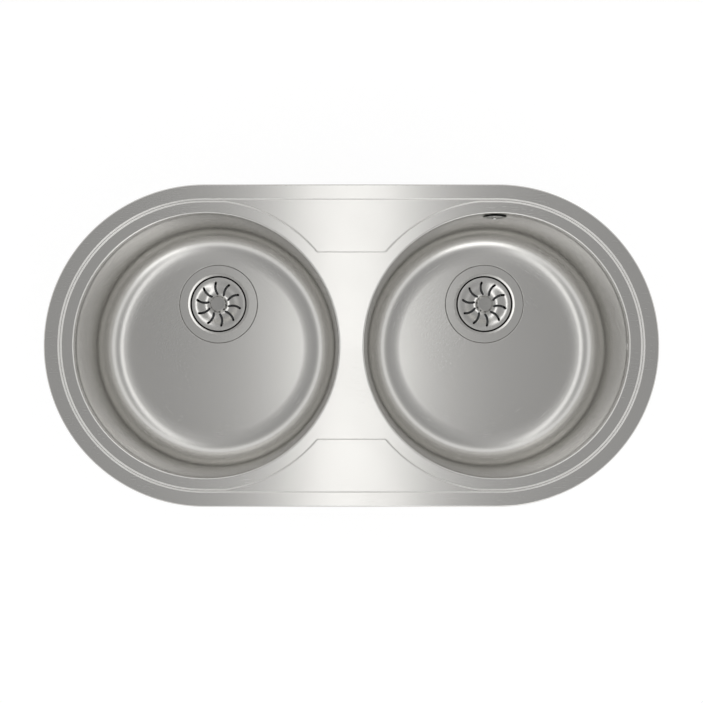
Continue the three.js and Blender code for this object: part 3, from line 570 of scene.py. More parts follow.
class Shading:
    """A material in the making: the nodes that feed its shader."""

    def __init__(self, name: str, values: dict[str, object]) -> None:
        """Starts a material.

        Args:
            name: The material's name.
            values: Plain values of the shader's own sockets.
        """
        self.material = bpy.data.materials.new(name)
        self.material.use_nodes = True
        self.tree = self.material.node_tree
        self.shader = self.tree.nodes["Principled BSDF"]
        for socket, value in values.items():
            self.shader.inputs[socket].default_value = value

    def node(self, kind: str, inputs: dict[object, object], **settings: object) -> bpy.types.Node:
        """Adds a node.

        Args:
            kind: The node's type, without its common prefix.
            inputs: What each input takes: a value, or another node's output.
            **settings: The node's own options.

        Returns:
            The new node.
        """
        made = self.tree.nodes.new(f"ShaderNode{kind}")
        for option, value in settings.items():
            setattr(made, option, value)
        for socket, value in inputs.items():
            if isinstance(value, bpy.types.NodeSocket):
                self.tree.links.new(value, made.inputs[socket])
            else:
                made.inputs[socket].default_value = value
        return made

    def maths(self, operation: str, *inputs: object) -> bpy.types.NodeSocket:
        """The result of a sum on values or outputs."""
        return self.node("Math", dict(enumerate(inputs)), operation=operation).outputs[0]

    def place(self) -> bpy.types.NodeSocket:
        """The place on the piece, in metres from its own origin."""
        return self.node("TexCoord", {}).outputs["Object"]

    def stretched(self, scale: Sequence[float]) -> bpy.types.NodeSocket:
        """The place on the piece, scaled along each axis."""
        inputs = {"Vector": self.place(), "Scale": tuple(scale)}
        return self.node("Mapping", inputs).outputs[0]

    def around(self, fine: float, along: float) -> bpy.types.NodeSocket:
        """The place as marks run round the piece's own Z axis.

        Args:
            fine: Scale across the marks.
            along: Scale round the axis.

        Returns:
            A vector of radius, turn and height.
        """
        parts = self.node("SeparateXYZ", {0: self.place()}).outputs
        turn = self.maths("ARCTAN2", parts[1], parts[0])
        square = self.maths("MULTIPLY", parts[0], parts[0])
        radius = self.maths("SQRT", self.maths("MULTIPLY_ADD", parts[1], parts[1], square))
        return self.node("CombineXYZ", {
            0: self.maths("MULTIPLY", radius, fine),
            1: self.maths("MULTIPLY", turn, along),
            2: self.maths("MULTIPLY", parts[2], fine),
        }).outputs[0]

    def noise(
        self, where: bpy.types.NodeSocket, scale: float, detail: float = 3.0
    ) -> bpy.types.NodeSocket:
        """Cloudy noise, from 0 to 1."""
        inputs = {"Vector": where, "Scale": scale, "Detail": detail}
        return self.node("TexNoise", inputs).outputs["Fac"]

    def between(
        self, value: bpy.types.NodeSocket, low: float, high: float, start: float = 0.3, end: float = 0.7
    ) -> bpy.types.NodeSocket:
        """A value spread between two limits, from where it passes start to where it passes end."""
        inputs = {"Value": value, "From Min": start, "From Max": end, "To Min": low, "To Max": high}
        return self.node("MapRange", inputs).outputs[0]

    def blend(
        self, share: bpy.types.NodeSocket, first: Colour, second: Colour
    ) -> bpy.types.NodeSocket:
        """A colour between two, by a share.

        Args:
            share: How far it is from the first to the second.
            first: One colour.
            second: The other.

        Returns:
            The colour's output.
        """
        made = self.node("Mix", {"Factor": share}, data_type="RGBA")
        colours = [s for s in made.inputs if s.type == "RGBA"]
        colours[0].default_value, colours[1].default_value = first, second
        return next(s for s in made.outputs if s.type == "RGBA")

    def feed(self, socket: str, value: bpy.types.NodeSocket) -> None:
        """Links an output to one of the shader's sockets."""
        self.tree.links.new(value, self.shader.inputs[socket])

    def bump(self, height: bpy.types.NodeSocket, strength: float, depth: float) -> None:
        """Raises the surface's shading by a height, in metres."""
        inputs = {"Height": height, "Strength": strength, "Distance": depth}
        self.feed("Normal", self.node("Bump", inputs).outputs[0])


class Grain(Enum):
    """The way that a metal's polishing marks run."""

    ALONG = "along"
    AROUND = "around"
    EVEN = "even"


@dataclass(frozen=True)
class Steel:
    """Stainless or plated steel.

    Attributes:
        name: The material's name.
        grain: The way its marks run.
        tone: Its colour.
        rough: Mean roughness.
        spread: How far the roughness wanders.
        relief: Strength of the marks' relief.
    """

    name: str
    grain: Grain
    tone: Colour
    rough: float
    spread: float = 0.015
    relief: float = 0.006

    def material(self) -> bpy.types.Material:
        """The steel as a material, with its marks, slight stains and handling wear.

        Returns:
            The material.
        """
        made = Shading(self.name, {"Metallic": 1.0})
        if self.grain is Grain.ALONG:
            marks = made.noise(made.stretched((60, 2600, 2600)), 1.0, 4.0)
        elif self.grain is Grain.AROUND:
            marks = made.noise(made.around(2600.0, 8.0), 1.0, 4.0)
        else:
            marks = made.noise(made.place(), 2200.0, 4.0)
        cloud = made.noise(made.place(), 9.0, 5.0)
        wear = made.maths("ADD", made.maths("MULTIPLY", marks, 0.6), made.maths("MULTIPLY", cloud, 0.4))
        low, high = self.rough - self.spread, self.rough + self.spread
        made.feed("Roughness", made.between(wear, low, high, 0.35, 0.65))
        dull = tuple(c * 0.97 for c in self.tone[:3]) + (1.0,)
        made.feed("Base Color", made.blend(made.between(cloud, 0, 1, 0.35, 0.65), self.tone, dull))
        made.bump(marks, self.relief, 0.00002)
        return made.material


@dataclass(frozen=True)
class Rubber:
    """Black rubber or foam.

    Attributes:
        name: The material's name.
        tone: Its colour.
        worn: The colour where dust has settled.
        rough: Roughness.
        grit: Scale of its grain.
        relief: Depth of the grain in metres.
    """

    name: str
    tone: Colour
    worn: Colour
    rough: float = 0.8
    grit: float = 900.0
    relief: float = 0.0001

    def material(self) -> bpy.types.Material:
        """The rubber as a material, with a fine grain and dust in patches.

        Returns:
            The material.
        """
        made = Shading(self.name, {"Metallic": 0.0, "Specular IOR Level": 0.35})
        grit = made.noise(made.place(), self.grit, 3.0)
        dust = made.noise(made.place(), 35.0, 6.0)
        made.feed("Base Color", made.blend(made.between(dust, 0, 1, 0.4, 0.75), self.tone, self.worn))
        made.feed("Roughness", made.between(grit, self.rough - 0.08, self.rough + 0.08))
        made.bump(grit, 0.5, self.relief)
        return made.material


@dataclass(frozen=True)
class Plastic:
    """Moulded polypropylene.

    Attributes:
        name: The material's name.
        tone: Its colour.
        aged: The colour in its scuffs.
        rough: Roughness.
    """

    name: str
    tone: Colour
    aged: Colour
    rough: float = 0.42

    def material(self) -> bpy.types.Material:
        """The plastic as a material, with flow marks, a fine spark texture and light scuffs.

        Returns:
            The material.
        """
        made = Shading(self.name, {"Metallic": 0.0, "Specular IOR Level": 0.5})
        spark = made.noise(made.place(), 1500.0, 2.0)
        flow = made.noise(made.stretched((14, 14, 55)), 1.0, 4.0)
        made.feed("Base Color", made.blend(made.between(flow, 0, 1, 0.45, 0.8), self.tone, self.aged))
        made.feed("Roughness", made.between(flow, self.rough - 0.05, self.rough + 0.1))
        made.bump(spark, 0.25, 0.00006)
        return made.material


class Finishes:
    """Every finish of the sink, made once and worn by name."""

    def __init__(self) -> None:
        """Makes the materials, each with the record's slot that it stands for."""
        satin = (0.656, 0.647, 0.625, 1.0)
        bright = (0.696, 0.687, 0.663, 1.0)
        dull = (0.478, 0.472, 0.456, 1.0)
        recipes: dict[str, tuple[str, Steel | Rubber | Plastic]] = {
            "deck steel": ("pressed_steel", Steel("deck_steel", Grain.ALONG, satin, 0.26)),
            "bowl steel": ("pressed_steel", Steel("bowl_steel", Grain.AROUND, satin, 0.26)),
            "fitting steel": ("polished_steel", Steel("fitting_steel", Grain.AROUND, bright, 0.21)),
            "knob steel": ("polished_steel", Steel("knob_steel", Grain.EVEN, dull, 0.24)),
            "zinc": ("zinc_steel", Steel(
                "zinc_plate", Grain.EVEN, (0.52, 0.54, 0.56, 1.0), 0.38, 0.1, 0.2)),
            "rubber": ("black_rubber", Rubber(
                "black_rubber", (0.018, 0.018, 0.019, 1.0), (0.05, 0.05, 0.048, 1.0))),
            "damping": ("damping_pad", Rubber(
                "damping_pad", (0.03, 0.03, 0.031, 1.0), (0.08, 0.078, 0.072, 1.0), 0.9, 500.0)),
            "foam": ("rim_foam", Rubber(
                "rim_foam", (0.1, 0.1, 0.104, 1.0), (0.16, 0.16, 0.155, 1.0), 0.95, 1400.0, 0.0003)),
            "white plastic": ("white_plastic", Plastic(
                "white_plastic", (0.78, 0.78, 0.76, 1.0), (0.7, 0.69, 0.66, 1.0))),
            "grey plastic": ("grey_plastic", Plastic(
                "grey_plastic", (0.27, 0.285, 0.295, 1.0), (0.36, 0.37, 0.375, 1.0), 0.48)),
        }
        self.slots = {name: slot for name, (slot, _) in recipes.items()}
        self.materials = {name: recipe.material() for name, (_, recipe) in recipes.items()}

    def wear(
        self, piece: bpy.types.Object, finish: str, body: str, nodes: Sequence[str]
    ) -> bpy.types.Object:
        """Dresses a piece and ties it to the frame.

        Args:
            piece: The new object.
            finish: The finish's name.
            body: The body that it rides on.
            nodes: The CAD nodes that it stands for.

        Returns:
            The piece.
        """
        piece.data.materials.clear()
        piece.data.materials.append(self.materials[finish])
        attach(piece, body)
        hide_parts(*nodes)
        LOG.info("%s: %s, on %s, for %s", piece.name, finish, body, ", ".join(nodes))
        return piece


# ---------------------------------------------------------------- pressing


@dataclass(frozen=True)
class Plan:
    """Sizes that the pressing's parts share.

    Attributes:
        sheet: Thickness of the pressed sheet.
        bowl_radius: Radius of a mouth.
        bowl_x: Distance of each bowl's axis from the middle.
        collar: Level where the pressing's collar meets the bowl.
        draft: Slope of the bowl's wall.
        depth: Depth of the bowl's floor.
        drain_setback: Distance of the drain behind the bowl's axis.
        wide_sides: Points round the large rounds.
        sides: Points round the fittings.
    """

    sheet: float = 0.8
    bowl_radius: float = 178.4
    bowl_x: float = 196.0
    collar: float = -4.0
    draft: float = math.radians(2.5)
    depth: float = 180.0
    drain_setback: float = 64.0
    wide_sides: int = 256
    sides: int = 96

    def wall(self, level: float) -> float:
        """Radius of the bowl's inside at a level."""
        return self.bowl_radius + (level - self.collar) * math.tan(self.draft)


PLAN = Plan()


class Side(Enum):
    """The bowl that a piece belongs to, as it starts the nodes' names."""

    LEFT = "left"
    RIGHT = "right"

    @property
    def x(self) -> float:
        """Place of the bowl's axis."""
        return PLAN.bowl_x if self is Side.RIGHT else -PLAN.bowl_x


@dataclass
class Deck:
    """The pressing round both bowls: turned-down edge, rim, tap deck, low surround and mouths.

    Attributes:
        end_x: Centre of the rim's end arcs.
        end_radius: Radius of the outer edge's end arcs.
        rim_inner_radius: Radius of the rim's inner step.
        ledge: Width of the deck between the rim and the low surround at the ends.
        surround_radius: Radius of the low surround about each bowl.
        bridge_half: Half length of the low bridge between the bowls.
        rim_level: Level of the rim.
        deck_level: Level of the tap deck.
        surround_level: Level of the low surround.
        edge_bottom: Level of the turned-down edge's end.
        edge_round: Radius of the outer edge.
        mouth_round: Radius of each mouth's lip.
        step_slope: Slope of the steps.
        step_top: Radius along a step's upper edge.
        step_foot: Radius along a step's foot.
        corner: Radius of the tap deck's corners.
        end_sides: Points round each end.
    """

    end_x: float = 197.5
    end_radius: float = 217.5
    rim_inner_radius: float = 197.5
    ledge: float = 3.0
    surround_radius: float = 196.0
    bridge_half: float = 126.5
    rim_level: float = 6.0
    deck_level: float = 4.2
    surround_level: float = 2.4
    edge_bottom: float = 0.3
    edge_round: float = 2.2
    mouth_round: float = 2.7
    step_slope: float = math.radians(46)
    step_top: float = 1.2
    step_foot: float = 0.45
    corner: float = 1.2
    end_sides: int = 128

    def step(self, drop: float) -> list[EdgePoint]:
        """Profile of a step that goes down sideways, about its own middle.

        Args:
            drop: Height of the step.

        Returns:
            Points whose reach is sideways towards the low side.
        """
        slope = self.step_slope
        fall = (self.step_top + self.step_foot) * (1 - math.cos(slope))
        straight = (drop - fall) / math.sin(slope)
        steps = 5
        points = []
        for k in range(steps + 1):
            a = slope * k / steps
            reach, level = self.step_top * math.sin(a), self.step_top * (math.cos(a) - 1)
            points.append(EdgePoint(reach, level, math.sin(a), math.cos(a)))
        foot_x = points[-1].reach + straight * math.cos(slope)
        foot_z = points[-1].level - straight * math.sin(slope)
        for k in range(steps, -1, -1):
            a = slope * k / steps
            reach = foot_x + self.step_foot * (math.sin(slope) - math.sin(a))
            level = foot_z - self.step_foot * (math.cos(a) - math.cos(slope))
            points.append(EdgePoint(reach, level, math.sin(a), math.cos(a)))
        middle = points[-1].reach / 2
        return [EdgePoint(p.reach - middle, p.level, p.out, p.up) for p in points]

    def stadium(self, radius: float, inward: bool) -> Contour:
        """A line with two half-round ends.

        Args:
            radius: Radius of the ends.
            inward: Whether sideways is towards the middle.

        Returns:
            The line.
        """
        sign = -1 if inward else 1
        points, sides = [], []
        for end in (1, -1):
            for k in range(self.end_sides + 1):
                a = math.pi * (k / self.end_sides - 0.5) + (0 if end > 0 else math.pi)
                c, s = math.cos(a), math.sin(a)
                points.append((end * self.end_x + radius * c, radius * s))
                sides.append((sign * c, sign * s))
        return Contour(tuple(points), tuple(sides))

    def surround(self) -> Contour:
        """The low surround's outline, with sideways towards the low side.

        The line is that of a step's middle: an arc about each bowl, cut off by the ledge inside the rim, and
        straight across the bridge, with small rounded corners where it meets the arcs.

        Returns:
            The outline.
        """
        wide = PLAN.bowl_x
        reach, half = self.surround_radius, self.bridge_half
        outer = self.rim_inner_radius - self.ledge
        pad = self.step_half_width()
        fillet = self.corner + pad
        centre_y = half + fillet
        centre_x = wide - math.sqrt((reach + fillet) ** 2 - centre_y**2)
        rows: list[tuple[float, float, float, float]] = [(0.0, half, 0.0, -1.0)]
        last = math.atan2(-centre_y, wide - centre_x)
        for k in range(9):
            a = -math.pi / 2 + (last + math.pi / 2) * k / 8
            c, s = math.cos(a), math.sin(a)
            rows.append((centre_x + fillet * c, centre_y + fillet * s, c, s))
        start, end = last + math.pi, math.pi - math.asin(outer / reach)
        count = self.end_sides
        for k in range(1, count):
            a = start + (end - start) * k / count
            rows.append((wide + reach * math.cos(a), reach * math.sin(a), -math.cos(a), -math.sin(a)))
        lean = math.pi / 2 - (math.pi - end)
        mitre = 1 / math.cos(lean / 2)
        rows.append((
            wide + reach * math.cos(end), outer, mitre * math.sin(lean / 2), -mitre * math.cos(lean / 2),
        ))
        for k in range(count + 1):
            a = math.pi / 2 * (1 - k / count)
            c, s = math.cos(a), math.sin(a)
            rows.append((self.end_x + outer * c, outer * s, -c, -s))
        lower = [(x, -y, sx, -sy) for x, y, sx, sy in reversed(rows[:-1])]
        right = rows + lower
        left = [(-x, y, -sx, sy) for x, y, sx, sy in reversed(right[1:-1])]
        full = right + left
        return Contour(
            tuple((x, y) for x, y, _, _ in full), tuple((sx, sy) for _, _, sx, sy in full)
        )

    def step_half_width(self) -> float:
        """Half the width of a step, seen from above."""
        return self.step(self.rim_level - self.deck_level)[-1].reach

    def build(self, finishes: Finishes) -> None:
        """Makes the pressing and the foam strip under its rim.

        Args:
            finishes: The sink's finishes.
        """
        surface = Surface()
        outer_edge = rounded([
            (0.0, self.edge_bottom, 0.0),
            (0.0, self.rim_level, self.edge_round),
            (-2 * self.edge_round, self.rim_level, 0.0),
        ])
        edge = surface.sweep(outer_edge, self.stadium(self.end_radius, False))
        rim_step = surface.sweep(
            self.step(self.rim_level - self.deck_level),
            self.stadium(self.rim_inner_radius, True),
            to_level=self.rim_level,
        )
        surface.bridge(edge[-1], rim_step[0])
        low_step = surface.sweep(
            self.step(self.deck_level - self.surround_level), self.surround(), to_level=self.deck_level
        )
        surface.fill([rim_step[-1], low_step[0]])
        mouths = []
        lip = self.mouth_round
        wall = PLAN.wall(self.surround_level)
        for side in Side:
            mouth = circle(0.0, PLAN.wide_sides, side.x)
            profile = rounded([
                (wall + 2 * lip, self.surround_level, 0.0),
                (wall, self.surround_level, lip),
                (PLAN.wall(PLAN.collar), PLAN.collar, 0.0),
            ])
            mouths.append(surface.sweep(profile, mouth)[0])
        surface.fill([low_step[-1], *mouths])
        surface.thicken(PLAN.sheet)
        finishes.wear(surface.build("sink_deck"), "deck steel", "sink", ["deck"])

        seal = Surface()
        outer, width, soft = -PLAN.sheet - 2.0, 7.0, 1.2
        top = self.rim_level - PLAN.sheet
        strip = rounded([
            (outer - width, 0.0, soft), (outer, 0.0, soft), (outer, top, soft / 2),
            (outer - width, top, soft / 2),
        ], closed=True)
        seal.sweep(strip, self.stadium(self.end_radius, False), closed=True)
        finishes.wear(seal.build("rim_seal_strip"), "foam", "sink", ["rim_seal"])


@dataclass
class Bowl:
    """One round bowl, with the recess for its strainer and the damping pad under its floor.

    Attributes:
        side: The bowl that it belongs to.
        curves: Radius of each curve of the corner from the floor up, and the slope in degrees where it
            ends. The last one ends in the wall.
        wall_steps: Rows of faces up the wall.
        recess_radius: Radius of the strainer's recess.
        recess_depth: Depth of the recess.
        recess_round: Radius along the recess's edge.
        drain_radius: Radius of the drain's hole.
        pad_length: Length of the damping pad.
        pad_width: Width of the damping pad.
        pad_thickness: Thickness of the damping pad.
        pad_offset: The pad's middle, from the bowl's axis.
    """

    side: Side
    curves: tuple[tuple[float, float], ...] = ((105.0, 8.0), (39.0, 87.0))
    wall_steps: int = 12
    recess_radius: float = 57.5
    recess_depth: float = 2.8
    recess_round: float = 1.0
    drain_radius: float = 45.0
    pad_length: float = 150.0
    pad_width: float = 70.0
    pad_thickness: float = 3.0
    pad_offset: float = -45.0

    @property
    def origin(self) -> tuple[float, float, float]:
        """The middle of the bowl's mouth."""
        return (self.side.x, 0.0, 0.0)

    def profile(self) -> list[EdgePoint]:
        """The inside from the flat floor's edge up the corner and the wall to the collar.

        The corner's curves follow each other without a break, from the floor into the wall.

        Returns:
            Points from the floor up.
        """
        bends = [(radius, math.radians(slope)) for radius, slope in self.curves]
        bends[-1] = (bends[-1][0], math.pi / 2 - PLAN.draft)
        starts = [0.0] + [slope for _, slope in bends[:-1]]
        rise = sum(r * (math.cos(a) - math.cos(b)) for (r, b), a in zip(bends, starts))
        run = sum(r * (math.sin(b) - math.sin(a)) for (r, b), a in zip(bends, starts))
        tangent_z = rise - PLAN.depth
        reach, level = PLAN.wall(tangent_z) - run, -PLAN.depth
        points = [EdgePoint(reach, level, 0.0, 1.0)]
        for (radius, end), start in zip(bends, starts):
            steps = max(4, math.ceil(math.degrees(end - start) / 2))
            centre_r, centre_z = reach - radius * math.sin(start), level + radius * math.cos(start)
            for k in range(1, steps + 1):
                a = start + (end - start) * k / steps
                reach, level = centre_r + radius * math.sin(a), centre_z - radius * math.cos(a)
                points.append(EdgePoint(reach, level, -math.sin(a), math.cos(a)))
        facing = points[-1]
        for k in range(1, self.wall_steps + 1):
            level = tangent_z + (PLAN.collar - tangent_z) * k / self.wall_steps
            points.append(EdgePoint(PLAN.wall(level), level, facing.out, facing.up))
        return points

    def build(self, finishes: Finishes) -> None:
        """Makes the bowl and its damping pad.

        Args:
            finishes: The sink's finishes.
        """
        shell = Surface()
        rings = shell.sweep(self.profile(), circle(0.0, PLAN.wide_sides))
        if self.side is Side.RIGHT:
            self.pierce(shell, rings)
        floor = -PLAN.depth
        seat = floor - self.recess_depth
        recess = rounded([
            (self.recess_radius + 1.2 * self.recess_round, floor, 0.0),
            (self.recess_radius, floor, self.recess_round),
            (self.recess_radius, seat, self.recess_round),
            (self.drain_radius, seat, 0.0),
        ])
        drain = shell.sweep(recess, circle(0.0, PLAN.sides * 2, 0.0, PLAN.drain_setback))
        shell.fill([rings[0], drain[0]])
        shell.thicken(PLAN.sheet)
        name = f"{self.side.value}_bowl"
        finishes.wear(shell.build(f"{name}_shell", self.origin), "bowl steel", "sink", [name])
        self.build_pad(finishes)

    def pierce(self, shell: Surface, rings: Sequence[Sequence[int]]) -> None:
        """Cuts the overflow's hole in the back wall.

        Args:
            shell: The bowl's surface, whose profile is swept.
            rings: Its rings from the floor up.
        """
        back, spread = PLAN.wide_sides // 4, 5
        columns = range(back - spread, back + spread + 1)
        rows = [r for r in rings if shell.points[r[0]].z > -Overflow.drop - 24]
        patch = {row[i] for row in rows for i in columns}
        shell.faces = [f for f in shell.faces if not patch.issuperset(f[0])]
        border = [rows[0][i] for i in columns] + [row[columns[-1]] for row in rows[1:-1]]
        border += [rows[-1][i] for i in reversed(columns)]
        border += [row[columns[0]] for row in reversed(rows[1:-1])]
        lean = math.cos(PLAN.draft)
        places, facing = [], []
        for i in range(48):
            x = Overflow.hole_radius * math.cos(TURN * i / 48)
            z = Overflow.hole_radius * math.sin(TURN * i / 48) - Overflow.drop
            y = math.sqrt(PLAN.wall(z) ** 2 - x * x)
            places.append(Vector((x, y, z)))
            facing.append(Vector((-x, -y, 0)).normalized() * lean + UP * math.sin(PLAN.draft))
        shell.fill([border, shell.ring(places, facing)], plane=lambda p: Vector((p.x, p.z)))

    def build_pad(self, finishes: Finishes) -> None:
        """Makes the damping pad, a soft-edged sheet with pressed lines across it.

        Args:
            finishes: The sink's finishes.
        """
        pad = Surface()
        top = -PLAN.depth - PLAN.sheet
        under = top - self.pad_thickness
        columns, rows = 76, 36
        pitch, margin, margin_lift = 7.5, 0.5, 1.2
        grid: list[list[int]] = []
        for j in range(rows + 1):
            line, normals = [], []
            for i in range(columns + 1):
                u, v = i / columns, j / rows
                x = (u - 0.5) * self.pad_length
                y = self.pad_offset + (v - 0.5) * self.pad_width
                line_lift = max(0.0, math.cos(math.pi * (x + y) / pitch) - 0.75) * 2.4
                edge = min(min(u, 1 - u) * self.pad_length, min(v, 1 - v) * self.pad_width)
                lift = line_lift + (margin_lift if edge < margin else 0.0)
                line.append(Vector((x, y, under + lift)))
                normals.append(Vector((0, 0, -1)))
            grid.append(pad.ring(line, normals))
        for a, b in zip(grid, grid[1:]):
            pad.bridge(a, b, closed=False)
        border = grid[0] + [row[-1] for row in grid[1:]]
        border += list(reversed(grid[-1][:-1])) + [row[0] for row in reversed(grid[1:-1])]
        lid = pad.ring([Vector((*pad.points[i].xy, top)) for i in border], [UP] * len(border))
        pad.bridge(border, lid, smooth=False)
        pad.fill([lid])
        name = f"{self.side.value}_sound_pad"
        finishes.wear(pad.build(f"{name}_sheet", self.origin), "damping", "sink", [name])


# ---------------------------------------------------------------- strainer and waste


def turned(corners: Sequence[Rounded], sides: int, closed: bool = False) -> Surface:
    """A piece turned about Z from a rounded profile, given with the material on its left.

    Args:
        corners: (radius, level, rounding) of each corner.
        sides: Points round each ring.
        closed: Whether the last corner leads back to the first.

    Returns:
        The piece.
    """
    surface = Surface()
    surface.turn(rounded(corners, closed), sides, closed)
    return surface


BACKWARD = Matrix.Rotation(-math.pi / 2, 4, "X")
FORWARD = Matrix.Rotation(math.pi / 2, 4, "X")


def placed(x: float, y: float, z: float, tilt: Matrix = Matrix.Identity(4)) -> Matrix:
    """A move to a place in millimetres, after a tilt."""
    return Matrix.Translation((x, y, z)) @ tilt


@dataclass
class Strainer:
    """Flange, cup, gaskets, waste body and outlet under one bowl, measured from the bowl's floor.

    Attributes:
        side: The bowl that it belongs to.
        cup_radius: Inside of the cup.
        flange_radius: Radius of the flange.
        sheet: Thickness of the pressed flange and cup.
        seat_radius: Inside of the cup below its seat.
        seat_top: Level where the seat starts.
        seat_foot: Level where it ends.
        cup_floor: Level of the cup's bottom.
        gasket_under: Level of the upper gasket's underside.
        waste_top: Level of the waste body's top.
        waste_inner: Inside of the waste body.
        waste_wall: Its wall.
        taper_top: Level where it starts to narrow.
        spigot_top: Level where the spigot starts.
        spigot_end: Level of the spigot's end.
        spigot_radius: Radius over the spigot's thread.
        nut_under: Level of the coupling nut's underside.
        nut_top: Level of its top.
        inlet_reach: The side inlet's mouth, from the drain's axis.
        inlet_drop: The side inlet's axis, below the bowl's floor.
        tube_bore: Inside of the side inlet.
        tube_radius: Outside of the side inlet.
    """

    side: Side
    cup_radius: float = 41.35
    flange_radius: float = 57.0
    sheet: float = 1.2
    seat_radius: float = 33.0
    seat_top: float = -16.0
    seat_foot: float = -21.0
    cup_floor: float = -30.8
    gasket_under: float = -2.8
    waste_top: float = -5.6
    waste_inner: float = 44.0
    waste_wall: float = 3.0
    taper_top: float = -51.6
    spigot_top: float = -65.6
    spigot_end: float = -93.6
    spigot_radius: float = 23.9
    nut_under: float = -97.6
    nut_top: float = -77.6
    inlet_reach: float = 75.0
    inlet_drop: float = 44.0
    tube_bore: float = 7.8
    tube_radius: float = 9.5

    @property
    def origin(self) -> tuple[float, float, float]:
        """The drain's middle, on the bowl's floor."""
        return (self.side.x, PLAN.drain_setback, -PLAN.depth)

    def build(self, finishes: Finishes) -> None:
        """Makes every fixed piece of the strainer and the waste.

        Args:
            finishes: The sink's finishes.
        """
        pieces = {
            "strainer_flange": (self.cup(), "fitting steel"),
            "strainer_gasket": (self.gasket(-self.sheet, self.gasket_under, 56.0, True), "rubber"),
            "waste_gasket": (self.gasket(self.waste_top + 2, self.waste_top, 54.0, False), "rubber"),
            "waste_body": (self.waste_body(), "white plastic"),
            "waste_spigot": (self.spigot(), "white plastic"),
            "clamp_screw": (self.clamp_screw(), "fitting steel"),
            "outlet_nut": (self.outlet_nut(), "grey plastic"),
        }
        for name, (surface, finish) in pieces.items():
            node = f"{self.side.value}_{name}"
            finishes.wear(surface.build(f"{node}_part", self.origin), finish, "sink", [node])
        if self.side is Side.LEFT:
            place = placed(0, self.inlet_reach, -self.inlet_drop, FORWARD)
            cap = pipe_nut(True).moved(place)
            node = "left_inlet_cap"
            finishes.wear(cap.build(f"{node}_part", self.origin), "grey plastic", "sink", [node])

    def cup(self) -> Surface:
        """The pressed flange with its bead, the seat, and the bottom with its holes.

        Returns:
            The piece.
        """
        outside = self.cup_radius + self.sheet
        seat_outside = self.seat_radius + self.sheet
        bead = self.cup_radius + 3.8
        under = self.cup_floor - self.sheet
        pierced = self.seat_radius - 3
        shell = Surface()
        rings = shell.turn(rounded([
            (pierced, under, 0.0),
            (seat_outside, under, 1.6),
            (seat_outside, self.seat_foot - self.sheet, 2.0),
            (outside, self.seat_top - self.sheet, 2.0),
            (outside, -self.sheet, 1.2),
            (self.flange_radius, -self.sheet, 0.3),
            (self.flange_radius, 0.0, 0.4),
            (bead, 0.0, 0.3),
            (bead - 0.3, 0.55, 0.3),
            (self.cup_radius, 0.0, 0.8),
            (self.cup_radius, self.seat_top, 1.5),
            (self.seat_radius, self.seat_foot, 1.5),
            (self.seat_radius, self.cup_floor, 1.6),
            (pierced, self.cup_floor, 0.0),
        ]), PLAN.sides * 2)
        screw_hole, drain_hole, drain_reach, drain_holes = 4.3, 6.5, 20.0, 6
        holes = [hole(screw_hole, 24)]
        for k in range(drain_holes):
            turn = TURN * k / drain_holes
            x, y = drain_reach * math.cos(turn), drain_reach * math.sin(turn)
            holes.append(hole(drain_hole, 32, x, y))
        low, high = shell.walls(holes, under, self.cup_floor, 0.3)
        shell.fill([rings[0], *low])
        shell.fill([rings[-1], *high])
        return shell

    def gasket(self, top: float, under: float, outer: float, seen: bool) -> Surface:
        """A rubber ring.

        Args:
            top: Level of its top.
            under: Level of its underside.
            outer: Its outer radius.
            seen: Whether it carries a lip that shows round the flange.

        Returns:
            The ring.
        """
        bore = 46.0
        corners = [(bore, under, 0.2), (outer, under, 0.2), (outer, top, 0.2), (bore, top, 0.2)]
        if seen:
            lip = outer + 1.3
            corners[1:3] = [
                (lip, under, 0.2), (lip, top + 0.3, 0.1), (outer + 1.1, top + 0.3, 0.1),
                (outer + 1.1, top, 0.1),
            ]
        return turned(corners, PLAN.sides * 2, closed=True)

    def waste_body(self) -> Surface:
        """The moulded body: flange, bead, taper, gussets, side inlet, boss and ribs.

        Returns:
            The piece.
        """
        inner, outer = self.waste_inner, self.waste_inner + self.waste_wall
        flange, under = inner + 10, self.waste_top - 4
        body = turned([
            (self.spigot_radius - 3, self.spigot_top, 0.3),
            (self.spigot_radius, self.spigot_top, 0.3),
            (outer, self.taper_top, 3.0),
            (outer, self.taper_top + 8, 0.4),
            (outer + 1.2, self.taper_top + 8.6, 0.4),
            (outer + 1.2, self.taper_top + 11.4, 0.4),
            (outer, self.taper_top + 12, 0.4),
            (outer, under, 1.5),
            (flange, under, 0.8),
            (flange, self.waste_top, 0.6),
            (inner, self.waste_top, 0.5),
            (inner, self.taper_top, 3.0),
        ], PLAN.sides, closed=True)
        gusset = outline([
            (outer - 0.5, under - 12, 0.5), (flange - 1, under + 0.2, 0.6), (outer - 0.5, under + 0.2, 0.4),
        ])
        for k in range(12):
            fin = Surface()
            fin.slab([gusset], -1.1, 1.1, 0.15)
            body.take(fin, Matrix.Rotation(TURN * (k + 0.5) / 12, 4, "Z") @ FORWARD)
        inlet = turned([
            (self.tube_bore, inner + 1, 0.0), (self.tube_radius, inner + 1, 0.0),
            (self.tube_radius, self.inlet_reach, 0.4), (self.tube_bore, self.inlet_reach, 0.4),
        ], 48, closed=True)
        collar = turned([
            (self.tube_radius - 0.5, outer - 2, 0.0), (self.tube_radius + 2.5, outer - 2, 0.0),
            (self.tube_radius + 2.0, outer + 3.0, 0.8), (self.tube_radius - 0.5, outer + 4.6, 0.0),
        ], 48, closed=True)
        inlet.take(collar)
        body.take(inlet, placed(0, 0, -self.inlet_drop, BACKWARD))
        spider = turned([
            (4.3, -64.0, 0.3), (8.0, -64.0, 0.6), (8.0, -40.0, 0.8), (4.3, -40.0, 0.4),
        ], 32, closed=True)
        body.take(spider)
